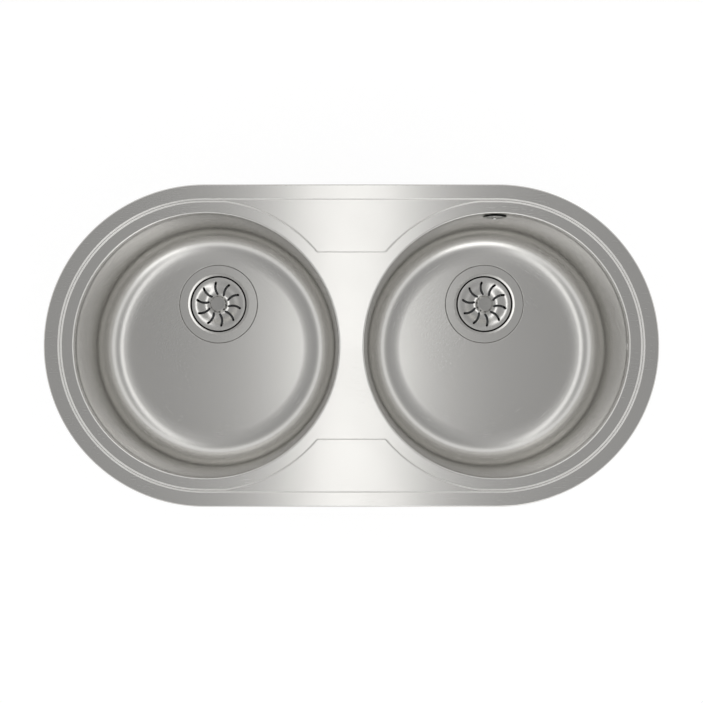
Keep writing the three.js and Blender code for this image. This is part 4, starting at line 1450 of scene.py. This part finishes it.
        rib = outline([(7.5, -1.5, 0.5), (inner + 1, -1.5, 0.5), (inner + 1, 1.5, 0.5), (7.5, 1.5, 0.5)])
        for k in range(3):
            arm = Surface()
            arm.slab([rib], -54.0, -44.0, 0.3)
            body.take(arm, Matrix.Rotation(-math.pi / 2 + TURN * k / 3, 4, "Z"))
        return body

    def spigot(self) -> Surface:
        """The outlet spigot with its coupling thread.

        Returns:
            The piece.
        """
        spigot = Surface()
        bore = self.spigot_radius - 3
        sides = 64
        turns = spigot.thread(
            self.spigot_radius, 0.9, 2.6, self.spigot_end + 1.2, self.spigot_top - 2.0, sides)
        root = self.spigot_radius - 1.0
        foot = spigot.turn(rounded([
            (bore, self.spigot_end, 0.0), (root, self.spigot_end, 0.4),
            (root, self.spigot_end + 1.2, 0.0),
        ]), sides)
        neck = spigot.turn(rounded([
            (self.spigot_radius - 0.5, self.spigot_top - 2.0, 0.0),
            (self.spigot_radius - 0.1, self.spigot_top, 0.1),
            (bore, self.spigot_top, 0.0),
        ]), sides)
        spigot.bridge(foot[-1], turns[0])
        spigot.bridge(turns[-1], neck[0])
        inside_wall = hole(bore, sides)
        low = spigot.ring(inside_wall.at(0, self.spigot_end), [Vector((*w, 0)) for w in inside_wall.sides])
        high = spigot.ring(inside_wall.at(0, self.spigot_top), [Vector((*w, 0)) for w in inside_wall.sides])
        spigot.bridge(low, high)
        spigot.bridge(foot[0], low)
        spigot.bridge(neck[-1], high)
        return spigot

    def clamp_screw(self) -> Surface:
        """The screw that pulls cup and body together, with its socket and thread.

        Returns:
            The piece.
        """
        top = self.cup_floor + 8
        screw = Surface()
        head = screw.turn(rounded([
            (3.6, self.cup_floor, 0.0), (9.0, self.cup_floor, 0.4), (9.0, top, 1.0), (4.3, top, 0.4),
            (4.3, top - 7, 0.3), (0.0, top - 7, 0.0),
        ]), 32)
        turns = screw.thread(4.0, 0.6, 1.25, self.cup_floor - 29, self.cup_floor, 32)
        tip = screw.ring([Vector((0, 0, self.cup_floor - 29.0))], [-UP])
        screw.bridge(turns[0], tip, smooth=False)
        screw.bridge(turns[-1], head[0], smooth=False)
        return screw

    def outlet_nut(self) -> Surface:
        """The coupling nut with its lugs and the lip that carries the washer.

        Returns:
            The piece.
        """
        inner = self.spigot_radius + 0.3
        nut = Surface()
        nut.slab([lobed(29.4, 3.1, 6, 0.13, 240), hole(inner, 96)], self.nut_under, self.nut_top, 0.4)
        nut.slab([circle(inner, 96), hole(21.0, 96)], self.nut_under, self.spigot_end - 0.3, 0.3)
        return nut


def pipe_nut(capped: bool) -> Surface:
    """A ribbed nut about Z over a tube's mouth at the origin, with its closed or open end down.

    Args:
        capped: Whether its end is closed.

    Returns:
        The piece.
    """
    nut = Surface()
    under = -3.0 if capped else -6.0
    nut.slab([lobed(10.75, 0.5, 20, 0.5, 240), hole(9.8, 48)], under, 8.0, 0.25)
    if capped:
        nut.take(turned([
            (0.0, under, 0.0), (9.8, under, 0.3), (9.8, -0.3, 0.2), (0.0, -0.3, 0.0),
        ], 48))
    else:
        nut.slab([circle(9.8, 48), hole(7.6, 48)], under, -0.3, 0.3)
    return nut


@dataclass
class Basket:
    """Lift-out basket of one strainer: slotted plate, knob, stem and seal, from the bowl's floor.

    Attributes:
        side: The bowl that it belongs to.
        plate_radius: Radius of the plate.
        plate_sheet: Thickness of the plate.
        edge_level: Level of the plate's edge.
        centre_level: Level of the plate under the knob.
        trough_level: Level of the trough's bottom.
        flat_radius: Radius of the flat under the knob.
        trough_radius: Radius of the trough's bottom.
        lip_radius: Radius where the trough meets the flat lip.
        slots: Number of slots.
        slot_width: Width of a slot.
        slot_inner: Radius where a slot starts.
        slot_outer: Radius where it ends.
        slot_phase: Direction of the first slot's ends.
        slot_bulge: How far a slot's middle stands off, in millimetres.
        knob_radius: Radius of the knob at the plate.
        knob_top_radius: Radius of the knob at its top.
        knob_height: Height of the knob.
    """

    side: Side
    plate_radius: float = 39.2
    plate_sheet: float = 1.0
    edge_level: float = -1.2
    centre_level: float = -5.5
    trough_level: float = -5.8
    flat_radius: float = 13.5
    trough_radius: float = 16.0
    lip_radius: float = 36.0
    slots: int = 10
    slot_width: float = 3.4
    slot_inner: float = 13.6
    slot_outer: float = 33.5
    slot_phase: float = math.radians(97)
    slot_bulge: float = 2.1
    knob_radius: float = 12.9
    knob_top_radius: float = 10.8
    knob_height: float = 13.0

    @property
    def origin(self) -> tuple[float, float, float]:
        """The drain's middle, on the bowl's floor."""
        return Strainer(self.side).origin

    def form(self, reach: float) -> float:
        """The plate's lift at a distance from its axis.

        Args:
            reach: The distance.

        Returns:
            The lift.
        """
        spans = [
            (self.flat_radius, self.centre_level),
            (self.trough_radius, self.trough_level),
            (self.lip_radius, self.edge_level),
        ]
        if reach <= spans[0][0]:
            return spans[0][1]
        for (near, first), (far, second) in zip(spans, spans[1:]):
            if reach <= far:
                share = (reach - near) / (far - near)
                return first + (second - first) * (1 - math.cos(math.pi * share)) / 2
        return self.edge_level

    def build(self, finishes: Finishes) -> None:
        """Makes the basket's four pieces.

        Args:
            finishes: The sink's finishes.
        """
        pieces = {
            "basket_plate": (self.plate(), "fitting steel", "basket"),
            "basket_knob": (self.knob(), "knob steel", "basket"),
            "basket_stem": (self.stem(), "grey plastic", "basket_core"),
            "basket_seal": (self.seal(), "rubber", "basket_core"),
        }
        for name, (surface, finish, body) in pieces.items():
            node = f"{self.side.value}_{name}"
            piece = surface.build(f"{node}_part", self.origin)
            finishes.wear(piece, finish, f"{self.side.value}_{body}", [node])

    def slot_centres(self, turn: float) -> list[Vector]:
        """The centre line of one slot, from its inner end.

        Args:
            turn: How far the slot is from the first one.

        Returns:
            The line's points.
        """
        half = self.slot_width / 2
        near, far = self.slot_inner + half, self.slot_outer - half
        points = []
        for k in range(13):
            t = k / 12
            bow = self.slot_bulge * 4 * t * (1 - t)
            across = Vector((near + (far - near) * t, bow))
            points.append(Matrix.Rotation(self.slot_phase + turn, 2) @ across)
        return points

    def plate(self) -> Surface:
        """The dished plate with its curved slots.

        Returns:
            The piece.
        """
        lines = [self.slot_centres(TURN * k / self.slots) for k in range(self.slots)]
        rounds, around, clear = (16.5, 19.0, 21.5, 24.5, 27.5, 30.0, 32.5, 35.0, 36.6), 80, 0.7
        inner = []
        for reach in rounds:
            for i in range(around):
                place = spot(reach, TURN * i / around)
                if all((place - c).length > self.slot_width * clear for line in lines for c in line):
                    inner.append(place)
        plate = Surface()
        outlines = [circle(self.plate_radius, PLAN.sides * 2), hole(5.3, 32)]
        outlines += [groove(line, self.slot_width) for line in lines]
        plate.slab(outlines, -self.plate_sheet, 0.0, 0.15, inner)
        plate.press(self.form)
        return plate

    def knob(self) -> Surface:
        """The knob, with its blind hole for the stem.

        Returns:
            The piece.
        """
        bottom, top = self.centre_level, self.centre_level + self.knob_height
        return turned([
            (0.0, bottom + 9.3, 0.0), (5.3, bottom + 9.3, 0.3), (5.3, bottom, 0.3),
            (self.knob_radius, bottom, 0.4), (self.knob_radius - 0.3, bottom + 1.6, 0.8),
            (self.knob_top_radius, top, 1.3), (0.0, top - 0.15, 0.0),
        ], PLAN.sides)

    def stem(self) -> Surface:
        """The stem: column, collar, seal disc and peg.

        Returns:
            The piece.
        """
        under = self.centre_level - self.plate_sheet
        return turned([
            (0.0, -28.5, 0.0), (4.0, -28.5, 1.2), (4.0, -20.0, 0.6), (30.0, -20.0, 0.6),
            (30.0, -17.0, 0.8), (5.0, -17.0, 2.0), (5.0, under - 3, 0.4), (9.0, under - 3, 0.6),
            (9.0, under, 0.3), (5.0, under, 0.2), (5.0, self.centre_level + 9, 0.8),
            (0.0, self.centre_level + 9, 0.0),
        ], 48)

    def seal(self) -> Surface:
        """The rubber ring whose lip lies on the cup's seat.

        Returns:
            The piece.
        """
        return turned([
            (30.3, -20.65, 0.2), (33.0, -20.65, 0.6), (40.45, -16.19, 0.4), (40.45, -14.99, 0.4),
            (34.0, -18.2, 2.0), (32.0, -17.0, 0.6), (30.3, -17.0, 0.2),
        ], PLAN.sides, closed=True)


# ---------------------------------------------------------------- overflow


@dataclass
class Overflow:
    """The overflow in the right bowl's back wall, measured from that bowl's mouth.

    Attributes:
        drop: Depth of its axis below the worktop's face.
        hole_radius: Radius of the hole in the bowl.
        face: Distance of the cover's face from the bowl's axis.
        cover_radius: Radius of the cover.
        cover_sheet: Thickness of the cover's face.
        flange_face: Distance of the elbow's flange from the bowl's axis.
        back: Distance of the elbow's back from the bowl's axis.
        pipe_y: Distance of the pipe's axis from the bowl's axis.
        mouth_drop: Depth of the elbow's mouth below the worktop's face.
        pipe_radius: Outside of the pipe.
        bend: Radius of the pipe's bend.
        inlet_level: Level of the side inlet that the pipe enters.
        pipe_end: Distance of the pipe's end from the bowl's axis.
    """

    drop: float = 25.0
    hole_radius: float = 12.0
    face: float = 174.6
    cover_radius: float = 16.0
    cover_sheet: float = 1.1
    flange_face: float = 184.3
    back: float = 202.8
    pipe_y: float = 194.5
    mouth_drop: float = 57.0
    pipe_radius: float = 7.5
    bend: float = 44.0
    inlet_level: float = -224.0
    pipe_end: float = 129.0

    @property
    def origin(self) -> tuple[float, float, float]:
        """The middle of the right bowl's mouth."""
        return (PLAN.bowl_x, 0.0, 0.0)

    def build(self, finishes: Finishes) -> None:
        """Makes cover, screw, seal, elbow, pipe and nuts.

        Args:
            finishes: The sink's finishes.
        """
        inlet_mouth = PLAN.drain_setback + Strainer.inlet_reach
        elbow_nut = pipe_nut(False).moved(placed(0, self.pipe_y, -self.mouth_drop))
        inlet_nut = pipe_nut(False).moved(placed(0, inlet_mouth, self.inlet_level, FORWARD))
        pieces = {
            "rosette": (self.cover(), "knob steel"),
            "screw": (self.screw(), "fitting steel"),
            "gasket": (self.seal(), "rubber"),
            "elbow": (self.elbow(), "white plastic"),
            "pipe": (self.pipe(), "white plastic"),
            "upper_nut": (elbow_nut, "grey plastic"),
            "lower_nut": (inlet_nut, "grey plastic"),
        }
        for name, (surface, finish) in pieces.items():
            node = f"overflow_{name}"
            finishes.wear(surface.build(f"{node}_part", self.origin), finish, "sink", [node])

    def cover(self) -> Surface:
        """The slotted cover, a shallow dish that faces into the bowl.

        Returns:
            The piece.
        """
        plate = Surface()
        slots, slot_reach, slot_width, half = 6, 8.8, 3.2, math.radians(14)
        lines = [circle(self.cover_radius, 96), hole(2.3, 24)]
        for k in range(slots):
            turns = [TURN * k / slots + half * (i / 4 - 1) for i in range(9)]
            lines.append(groove([spot(slot_reach, a) for a in turns], slot_width))
        flat_radius, fall = 12.5, 0.06
        rounds = [spot(flat_radius + 0.5, TURN * i / 48) for i in range(48)]
        plate.slab(lines, -self.cover_sheet, 0.0, 0.35, rounds)
        plate.press(lambda reach: -max(0.0, reach - flat_radius) ** 2 * fall)
        return plate.moved(placed(0, self.face, -self.drop, FORWARD))

    def screw(self) -> Surface:
        """The screw through the cover, with a domed head and a hexagon socket.

        Returns:
            The piece.
        """
        sides, head_top, socket_radius, socket_floor, tip = 24, 2.0, 1.6, 0.8, -22.0
        screw = Surface()
        head = screw.turn(rounded([
            (1.7, 0.0, 0.0), (4.0, 0.0, 0.3), (4.0, 0.9, 0.5), (3.3, 1.8, 0.7), (2.2, head_top, 0.0),
        ]), sides)
        rim = screw.ring(circle(socket_radius, sides).at(0, head_top), [UP] * sides)
        screw.bridge(head[-1], rim)
        socket = polygon_ring(socket_radius, sides)
        top = screw.ring([Vector((x, y, head_top)) for x, y in socket], [UP] * sides)
        screw.bridge(rim, top)
        low = screw.ring([Vector((x, y, socket_floor)) for x, y in socket], [UP] * sides)
        screw.bridge(top, low, smooth=False)
        screw.bridge(low, screw.ring([Vector((0, 0, socket_floor))], [UP]), smooth=False)
        turns = screw.thread(2.0, 0.35, 0.8, tip, 0.0, sides)
        screw.bridge(turns[0], screw.ring([Vector((0, 0, tip))], [-UP]), smooth=False)
        screw.bridge(turns[-1], head[0], smooth=False)
        return screw.moved(placed(0, self.face, -self.drop, FORWARD))

    def seal(self) -> Surface:
        """The rubber grommet: a ring inside the bowl, a neck through the hole and a ring outside.

        Returns:
            The piece.
        """
        seal = turned([
            (10.0, -3.7, 0.3), (15.2, -2.4, 0.3), (15.2, -1.0, 0.3), (10.0, -1.0, 0.3),
        ], 72, closed=True)
        outer = turned([
            (11.2, -self.flange_face + self.face, 0.2), (19.0, -self.flange_face + self.face, 0.3),
            (19.0, -5.2, 0.3), (11.2, -5.2, 0.2),
        ], 72, closed=True)
        neck = turned([
            (10.4, -5.6, 0.1), (11.7, -5.6, 0.1), (11.7, -3.2, 0.1), (10.4, -3.2, 0.1),
        ], 72, closed=True)
        seal.take(outer)
        seal.take(neck)
        return seal.moved(placed(0, self.face, -self.drop, FORWARD))

    def elbow(self) -> Surface:
        """The moulded elbow behind the bowl: flange, barrel, ribs, boss and the mouth for the pipe.

        Returns:
            The piece.
        """
        long = self.back - self.flange_face
        barrel = turned([
            (0.0, long - 2, 0.0), (10.0, long - 2, 1.0), (10.0, 0.0, 0.4), (19.0, 0.0, 0.5),
            (19.0, 3.0, 0.8), (12.0, 3.0, 1.2), (12.0, long, 1.6), (4.6, long, 0.4),
            (4.3, long - 0.6, 0.2), (0.0, long - 0.6, 0.0),
        ], 72)
        fin = outline([(11.5, 2.8, 0.4), (18.0, 2.8, 0.5), (11.5, 9.5, 0.5)])
        for k in range(6):
            rib = Surface()
            rib.slab([fin], -0.8, 0.8, 0.15)
            barrel.take(rib, Matrix.Rotation(TURN * (k + 0.5) / 6, 4, "Z") @ FORWARD)
        boss = turned([
            (2.3, long - 12, 0.2), (4.3, long - 12, 0.4), (4.3, long - 1, 0.0), (2.3, long - 1, 0.0),
        ], 32, closed=True)
        barrel.take(boss)
        elbow = barrel.moved(placed(0, self.flange_face, -self.drop, BACKWARD))
        mouth = turned([
            (Strainer.tube_bore, -self.mouth_drop, 0.4), (Strainer.tube_radius, -self.mouth_drop, 0.4),
            (Strainer.tube_radius, -self.drop - 13, 0.8), (Strainer.tube_radius + 1, -self.drop - 11, 0.8),
            (Strainer.tube_radius + 1, -self.drop, 0.0), (Strainer.tube_bore, -self.drop, 0.0),
        ], 48, closed=True)
        elbow.take(mouth, placed(0, self.pipe_y, 0))
        return elbow

    def pipe(self) -> Surface:
        """The ribbed pipe, down behind the bowl and round into the waste's side inlet.

        Returns:
            The piece.
        """
        top = -self.mouth_drop + 10
        bend_top = self.inlet_level + self.bend
        down, around = top - bend_top, self.bend * math.pi / 2
        total = down + around + (self.pipe_y - self.bend - self.pipe_end)
        pitch, cuff, depth = 4.4, 18.0, 1.0
        pipe = Surface()
        count, sides = round(total / pitch * 6), 28

        def place(run: float) -> tuple[Vector, Vector]:
            """The middle of the pipe and its way on, at a distance from its start."""
            if run <= down:
                return Vector((0, self.pipe_y, top - run)), Vector((0, 0, -1))
            turn = min((run - down) / self.bend, math.pi / 2)
            way = Vector((0, -math.sin(turn), -math.cos(turn)))
            y = self.pipe_y - self.bend * (1 - math.cos(turn))
            middle = Vector((0, y, bend_top - self.bend * math.sin(turn)))
            return middle + way * max(0.0, run - down - around), way

        def reach(run: float) -> float:
            """The pipe's outer radius at a distance from its start."""
            if run < cuff or run > total - cuff:
                return self.pipe_radius
            wave = math.cos(TURN * (run - cuff) / pitch)
            return self.pipe_radius - depth / 2 + depth / 2 * math.copysign(abs(wave) ** 0.7, wave)

        ends: list[list[int]] = []
        for steps, bore in ((count, None), (40, self.pipe_radius - 1.5)):
            rings = []
            for k in range(steps + 1):
                run = total * k / steps
                middle, way = place(run)
                right = Vector((1, 0, 0))
                side = way.cross(right)
                slope = (reach(run + 0.05) - reach(run - 0.05)) / 0.1
                rows, facing = [], []
                for i in range(sides):
                    away = right * math.cos(TURN * i / sides) + side * math.sin(TURN * i / sides)
                    rows.append(middle + away * (bore or reach(run)))
                    facing.append(-away if bore else away - way * slope)
                rings.append(pipe.ring(rows, facing))
            for a, b in zip(rings, rings[1:]):
                pipe.bridge(a, b)
            ends += [rings[0], rings[-1]]
        for outer, inner in ((ends[0], ends[2]), (ends[1], ends[3])):
            pipe.bridge(inner, outer, smooth=False)
        return pipe


def polygon_ring(radius: float, count: int) -> list[tuple[float, float]]:
    """Points round a hexagon at even turns.

    Args:
        radius: Distance of the hexagon's corners from its middle.
        count: How many points.

    Returns:
        The points.
    """
    places = []
    for i in range(count):
        turn = TURN * i / count
        near = (turn + math.pi / 6) % (math.pi / 3) - math.pi / 6
        reach = radius * math.cos(math.pi / 6) / math.cos(near - math.copysign(math.pi / 6, near))
        places.append((reach * math.cos(turn), reach * math.sin(turn)))
    return places


# ---------------------------------------------------------------- clips


@dataclass
class Clip:
    """One worktop clip: bracket, screw and claw. +X is outward, at the screw's axis.

    Attributes:
        number: Its number, as it ends the nodes' names.
        x: Place of the screw's axis.
        y: Place of the screw's axis.
        outward: Direction of the way out.
        length: Length of the bracket.
        sheet: Thickness of the bracket.
        top: Level of the rim's underside.
        foot: Level of the bracket's foot.
        claw: Level of the claw's underside.
        claw_sheet: Thickness of the claw.
        screw_radius: Radius over the screw's thread.
    """

    number: int
    x: float
    y: float
    outward: float
    length: float = 24.0
    sheet: float = 1.5
    top: float = 5.2
    foot: float = -16.0
    claw: float = -50.0
    claw_sheet: float = 2.5
    screw_radius: float = 2.5

    def build(self, finishes: Finishes) -> None:
        """Makes the bracket, the screw and the claw.

        Args:
            finishes: The sink's finishes.
        """
        pieces = {
            "bracket": (self.bracket(), "sink"),
            "screw": (self.screw(), f"clip_{self.number}_screw"),
            "claw": (self.claw_arm(), f"clip_{self.number}_claw"),
        }
        for name, (surface, body) in pieces.items():
            surface.moved(Matrix.Rotation(self.outward, 4, "Z"))
            node = f"clip_{name}_{self.number}"
            piece = surface.build(f"{node}_part", (self.x, self.y, 0.0))
            finishes.wear(piece, "zinc", body, [node])

    def bracket(self) -> Surface:
        """The bent strip under the rim, with its weld nut.

        Returns:
            The piece.
        """
        t, leg, under = self.sheet, 5.0, self.foot - self.sheet
        strip = outline([
            (leg, self.top, 0.4), (leg, self.foot, 1.2), (-8.0, self.foot, 0.3), (-8.0, under, 0.3),
            (leg + t, under, 2.2), (leg + t, self.top - t, 1.0), (leg + 7, self.top - t, 0.3),
            (leg + 7, self.top, 0.3),
        ])
        bent = Surface()
        bent.slab([strip], -self.length / 2, self.length / 2, 0.2)
        bracket = bent.moved(FORWARD)
        nut = [polygon(5.5, 6, 0.6), hole(self.screw_radius + 0.2, 24)]
        bracket.slab(nut, under - 5.5, under, 0.3)
        return bracket

    def screw(self) -> Surface:
        """The clamping screw: thread, shoulder, flange and hexagon head.

        Returns:
            The piece.
        """
        claw_top = self.claw + self.claw_sheet
        shank, flange = self.screw_radius, self.claw - 1.5
        screw = Surface()
        turns = screw.thread(shank, 0.4, 0.8, claw_top + 1.6, -15.2, 16)
        tip = screw.turn(rounded([(2.1, -15.2, 0.0), (1.6, -14.5, 0.2), (0.0, -14.5, 0.0)]), 16)
        screw.bridge(turns[-1], tip[0])
        screw.take(turned([
            (0.0, flange, 0.0), (6.0, flange, 0.4), (6.0, self.claw, 0.4),
            (shank, self.claw, 0.0), (shank, claw_top + 0.3, 0.0), (4.2, claw_top + 0.3, 0.3),
            (4.2, claw_top + 1.8, 0.3), (0.0, claw_top + 1.8, 0.0),
        ], 32))
        head = flange - 3.5
        screw.slab([polygon(4.5, 6, 0.5)], head, flange + 0.1, 0.3)
        return screw

    def claw_arm(self) -> Surface:
        """The claw: an arm with a raised, ridged tip.

        Returns:
            The piece.
        """
        low, t = self.claw, self.claw_sheet
        tip = -20.0
        strip = outline([
            (tip, low, 2.4), (7.0, low, 0.5), (7.0, low + t, 0.5), (tip + t, low + t, 0.8),
            (tip + t, low + 7.4, 0.2), (tip + t - 0.8, low + 8, 0.2), (tip + t / 2, low + 7.3, 0.2),
            (tip + 0.8, low + 8, 0.2), (tip, low + 7.4, 0.2),
        ])
        bent = Surface()
        bent.slab([strip], -6.0, 6.0, 0.12)
        return bent.moved(Matrix.Rotation(math.pi / 2, 4, "Z") @ FORWARD)


def clip_places() -> list[tuple[float, float, float]]:
    """Where the eight clips stand, and each one's way out.

    Returns:
        (x, y, direction of the way out) of each.
    """
    deck = Deck()
    reach, lean = deck.end_radius - 23.0, math.radians(40)
    places = []
    for side in (1, -1):
        for end in (1, -1):
            places.append((end * 110.0, side * reach, side * math.pi / 2))
            outward = math.atan2(side * math.sin(lean), end * math.cos(lean))
            place = (end * deck.end_x + reach * math.cos(outward), reach * math.sin(outward), outward)
            places.append(place)
    return places


# ---------------------------------------------------------------- studio


@dataclass
class Studio:
    """Camera, floor, backdrop and soft light.

    Attributes:
        camera_height: Height of the camera above the rim.
        camera_y: The camera's place from front to back.
        view_width: Width that the picture covers at the rim.
        view_y: What the picture's middle shows, from front to back.
        view_x: What the picture's middle shows, from left to right.
        sensor: Width of the sensor.
        floor_level: Level of the floor, just under the sink's lowest point.
        floor_radius: Radius of the floor, up to the backdrop.
        cove: Radius between floor and backdrop.
        wall_height: Height of the backdrop.
        floor_tone: Grey of the floor as it lights the sink.
        paper_tone: Grey of the floor as the camera, metal and glass see it, which keeps the shadow.
        paper_glow: How much brighter they see it.
        room_light: Brightness of the room above the backdrop.
        band_light: How much brighter its band of light is.
        band_tilt: Angle of the band's middle from straight up.
        band_width: Angle from the band's middle to where it ends.
    """

    camera_height: float = 1965.0
    camera_y: float = -30.0
    view_width: float = 946.9
    view_y: float = -8.0
    view_x: float = 0.1
    sensor: float = 36.0
    floor_level: float = -278.0
    floor_radius: float = 3600.0
    cove: float = 700.0
    wall_height: float = 1900.0
    floor_tone: float = 0.8
    paper_tone: float = 0.25
    paper_glow: float = 0.86
    room_light: float = 0.4
    band_light: float = 0.92
    band_tilt: float = math.radians(53)
    band_width: float = math.radians(13)

    def build(self) -> None:
        """Makes the camera first, then the floor, the world and the lamps."""
        self.build_camera()
        self.build_floor()
        self.build_world()
        self.build_lamps()

    def build_camera(self) -> None:
        """Makes the camera, looking straight down with the sink's back at the top."""
        data = bpy.data.cameras.new("camera")
        data.sensor_width = self.sensor
        data.lens = self.sensor * self.camera_height / self.view_width
        data.shift_x = self.view_x / self.view_width
        data.shift_y = (self.view_y - self.camera_y) / self.view_width
        data.clip_end = 30.0
        camera = bpy.data.objects.new("camera", data)
        camera.location = Vector((0.0, self.camera_y, self.camera_height + Deck.rim_level)) * MM
        bpy.context.scene.collection.objects.link(camera)
        bpy.context.scene.camera = camera

    def build_floor(self) -> None:
        """Makes the pale floor with its curved backdrop all round."""
        surface = Surface()
        profile = rounded([
            (0.0, self.floor_level, 0.0),
            (self.floor_radius, self.floor_level, self.cove),
            (self.floor_radius, self.wall_height, 0.0),
        ])
        surface.turn([EdgePoint(p.reach, p.level, -p.out, -p.up) for p in profile], 96)
        floor = surface.build("floor")
        material = bpy.data.materials.new("floor_paper")
        material.use_nodes = True
        nodes, links = material.node_tree.nodes, material.node_tree.links
        diffuse = nodes["Principled BSDF"]
        diffuse.inputs["Base Color"].default_value = (*[self.floor_tone] * 3, 1.0)
        diffuse.inputs["Roughness"].default_value = 0.9
        paper = nodes.new("ShaderNodeBsdfDiffuse")
        paper.inputs["Color"].default_value = (*[self.paper_tone] * 3, 1.0)
        glow = nodes.new("ShaderNodeEmission")
        glow.inputs["Strength"].default_value = self.paper_glow
        seen = nodes.new("ShaderNodeAddShader")
        links.new(paper.outputs[0], seen.inputs[0])
        links.new(glow.outputs[0], seen.inputs[1])
        rays = nodes.new("ShaderNodeLightPath").outputs
        any_ray = rays["Is Camera Ray"]
        for ray in ("Is Glossy Ray", "Is Transmission Ray"):
            either = nodes.new("ShaderNodeMath")
            either.operation = "MAXIMUM"
            links.new(any_ray, either.inputs[0])
            links.new(rays[ray], either.inputs[1])
            any_ray = either.outputs[0]
        mix = nodes.new("ShaderNodeMixShader")
        links.new(any_ray, mix.inputs["Fac"])
        links.new(diffuse.outputs[0], mix.inputs[1])
        links.new(seen.outputs[0], mix.inputs[2])
        links.new(mix.outputs[0], nodes["Material Output"].inputs["Surface"])
        floor.data.materials.append(material)

    def build_world(self) -> None:
        """Makes the room's light above the backdrop: an even grey with a brighter band all round."""
        world = bpy.data.worlds.new("room")
        world.use_nodes = True
        nodes, links = world.node_tree.nodes, world.node_tree.links
        way = nodes.new("ShaderNodeTexCoord")
        parts = nodes.new("ShaderNodeSeparateXYZ")
        links.new(way.outputs["Generated"], parts.inputs[0])
        previous = parts.outputs["Z"]
        for operation, other in (("ARCCOSINE", 0.0), ("SUBTRACT", self.band_tilt), ("ABSOLUTE", 0.0)):
            step = nodes.new("ShaderNodeMath")
            step.operation = operation
            step.inputs[1].default_value = other
            links.new(previous, step.inputs[0])
            previous = step.outputs[0]
        level = nodes.new("ShaderNodeMapRange")
        links.new(previous, level.inputs["Value"])
        level.inputs["From Min"].default_value = 0.0
        level.inputs["From Max"].default_value = self.band_width
        level.inputs["To Min"].default_value = self.room_light + self.band_light
        level.inputs["To Max"].default_value = self.room_light
        back = nodes["Background"]
        links.new(level.outputs["Result"], back.inputs["Color"])
        back.inputs["Strength"].default_value = 1.0
        bpy.context.scene.world = world

    def lamp(
        self, name: str, place: Sequence[float], target: Sequence[float], size: tuple[float, float],
        brightness: float,
    ) -> None:
        """Makes one soft box.

        Args:
            name: The lamp's name.
            place: Where it stands.
            target: What it faces.
            size: Its width and height.
            brightness: How bright it looks from the sink, where 1 is white.
        """
        data = bpy.data.lights.new(name, "AREA")
        data.shape = "RECTANGLE"
        data.size, data.size_y = size[0] * MM, size[1] * MM
        data.energy = math.pi * data.size * data.size_y * brightness
        lamp = bpy.data.objects.new(name, data)
        lamp.location = Vector(place) * MM
        way = Vector(target) - Vector(place)
        lamp.rotation_euler = way.to_track_quat("-Z", "Y").to_euler()
        lamp.visible_camera = False
        bpy.context.scene.collection.objects.link(lamp)

    def build_lamps(self) -> None:
        """Makes the two long soft boxes overhead and a smaller one in front on the right."""
        self.lamp("overhead_near", (0, -30, 800), (0, -30, 0), (180, 1800), 0.84)
        self.lamp("overhead_far", (0, -30, 1300), (0, -30, 0), (300, 1800), 0.72)
        self.lamp("front_right", (400, -990, 610), (210, 0, -100), (700, 300), 1.4)


def main() -> None:
    """Builds the scene in order: studio, pressing, bowls with their fittings, overflow and clips."""
    logging.basicConfig(level=logging.INFO, format="%(message)s")
    bpy.context.scene.view_settings.view_transform = "Standard"
    Studio().build()
    finishes = Finishes()
    Deck().build(finishes)
    for side in Side:
        Bowl(side).build(finishes)
        Strainer(side).build(finishes)
        Basket(side).build(finishes)
    Overflow().build(finishes)
    for number, (x, y, outward) in enumerate(clip_places(), 1):
        Clip(number, x, y, outward).build(finishes)


if __name__ == "__main__":
    main()
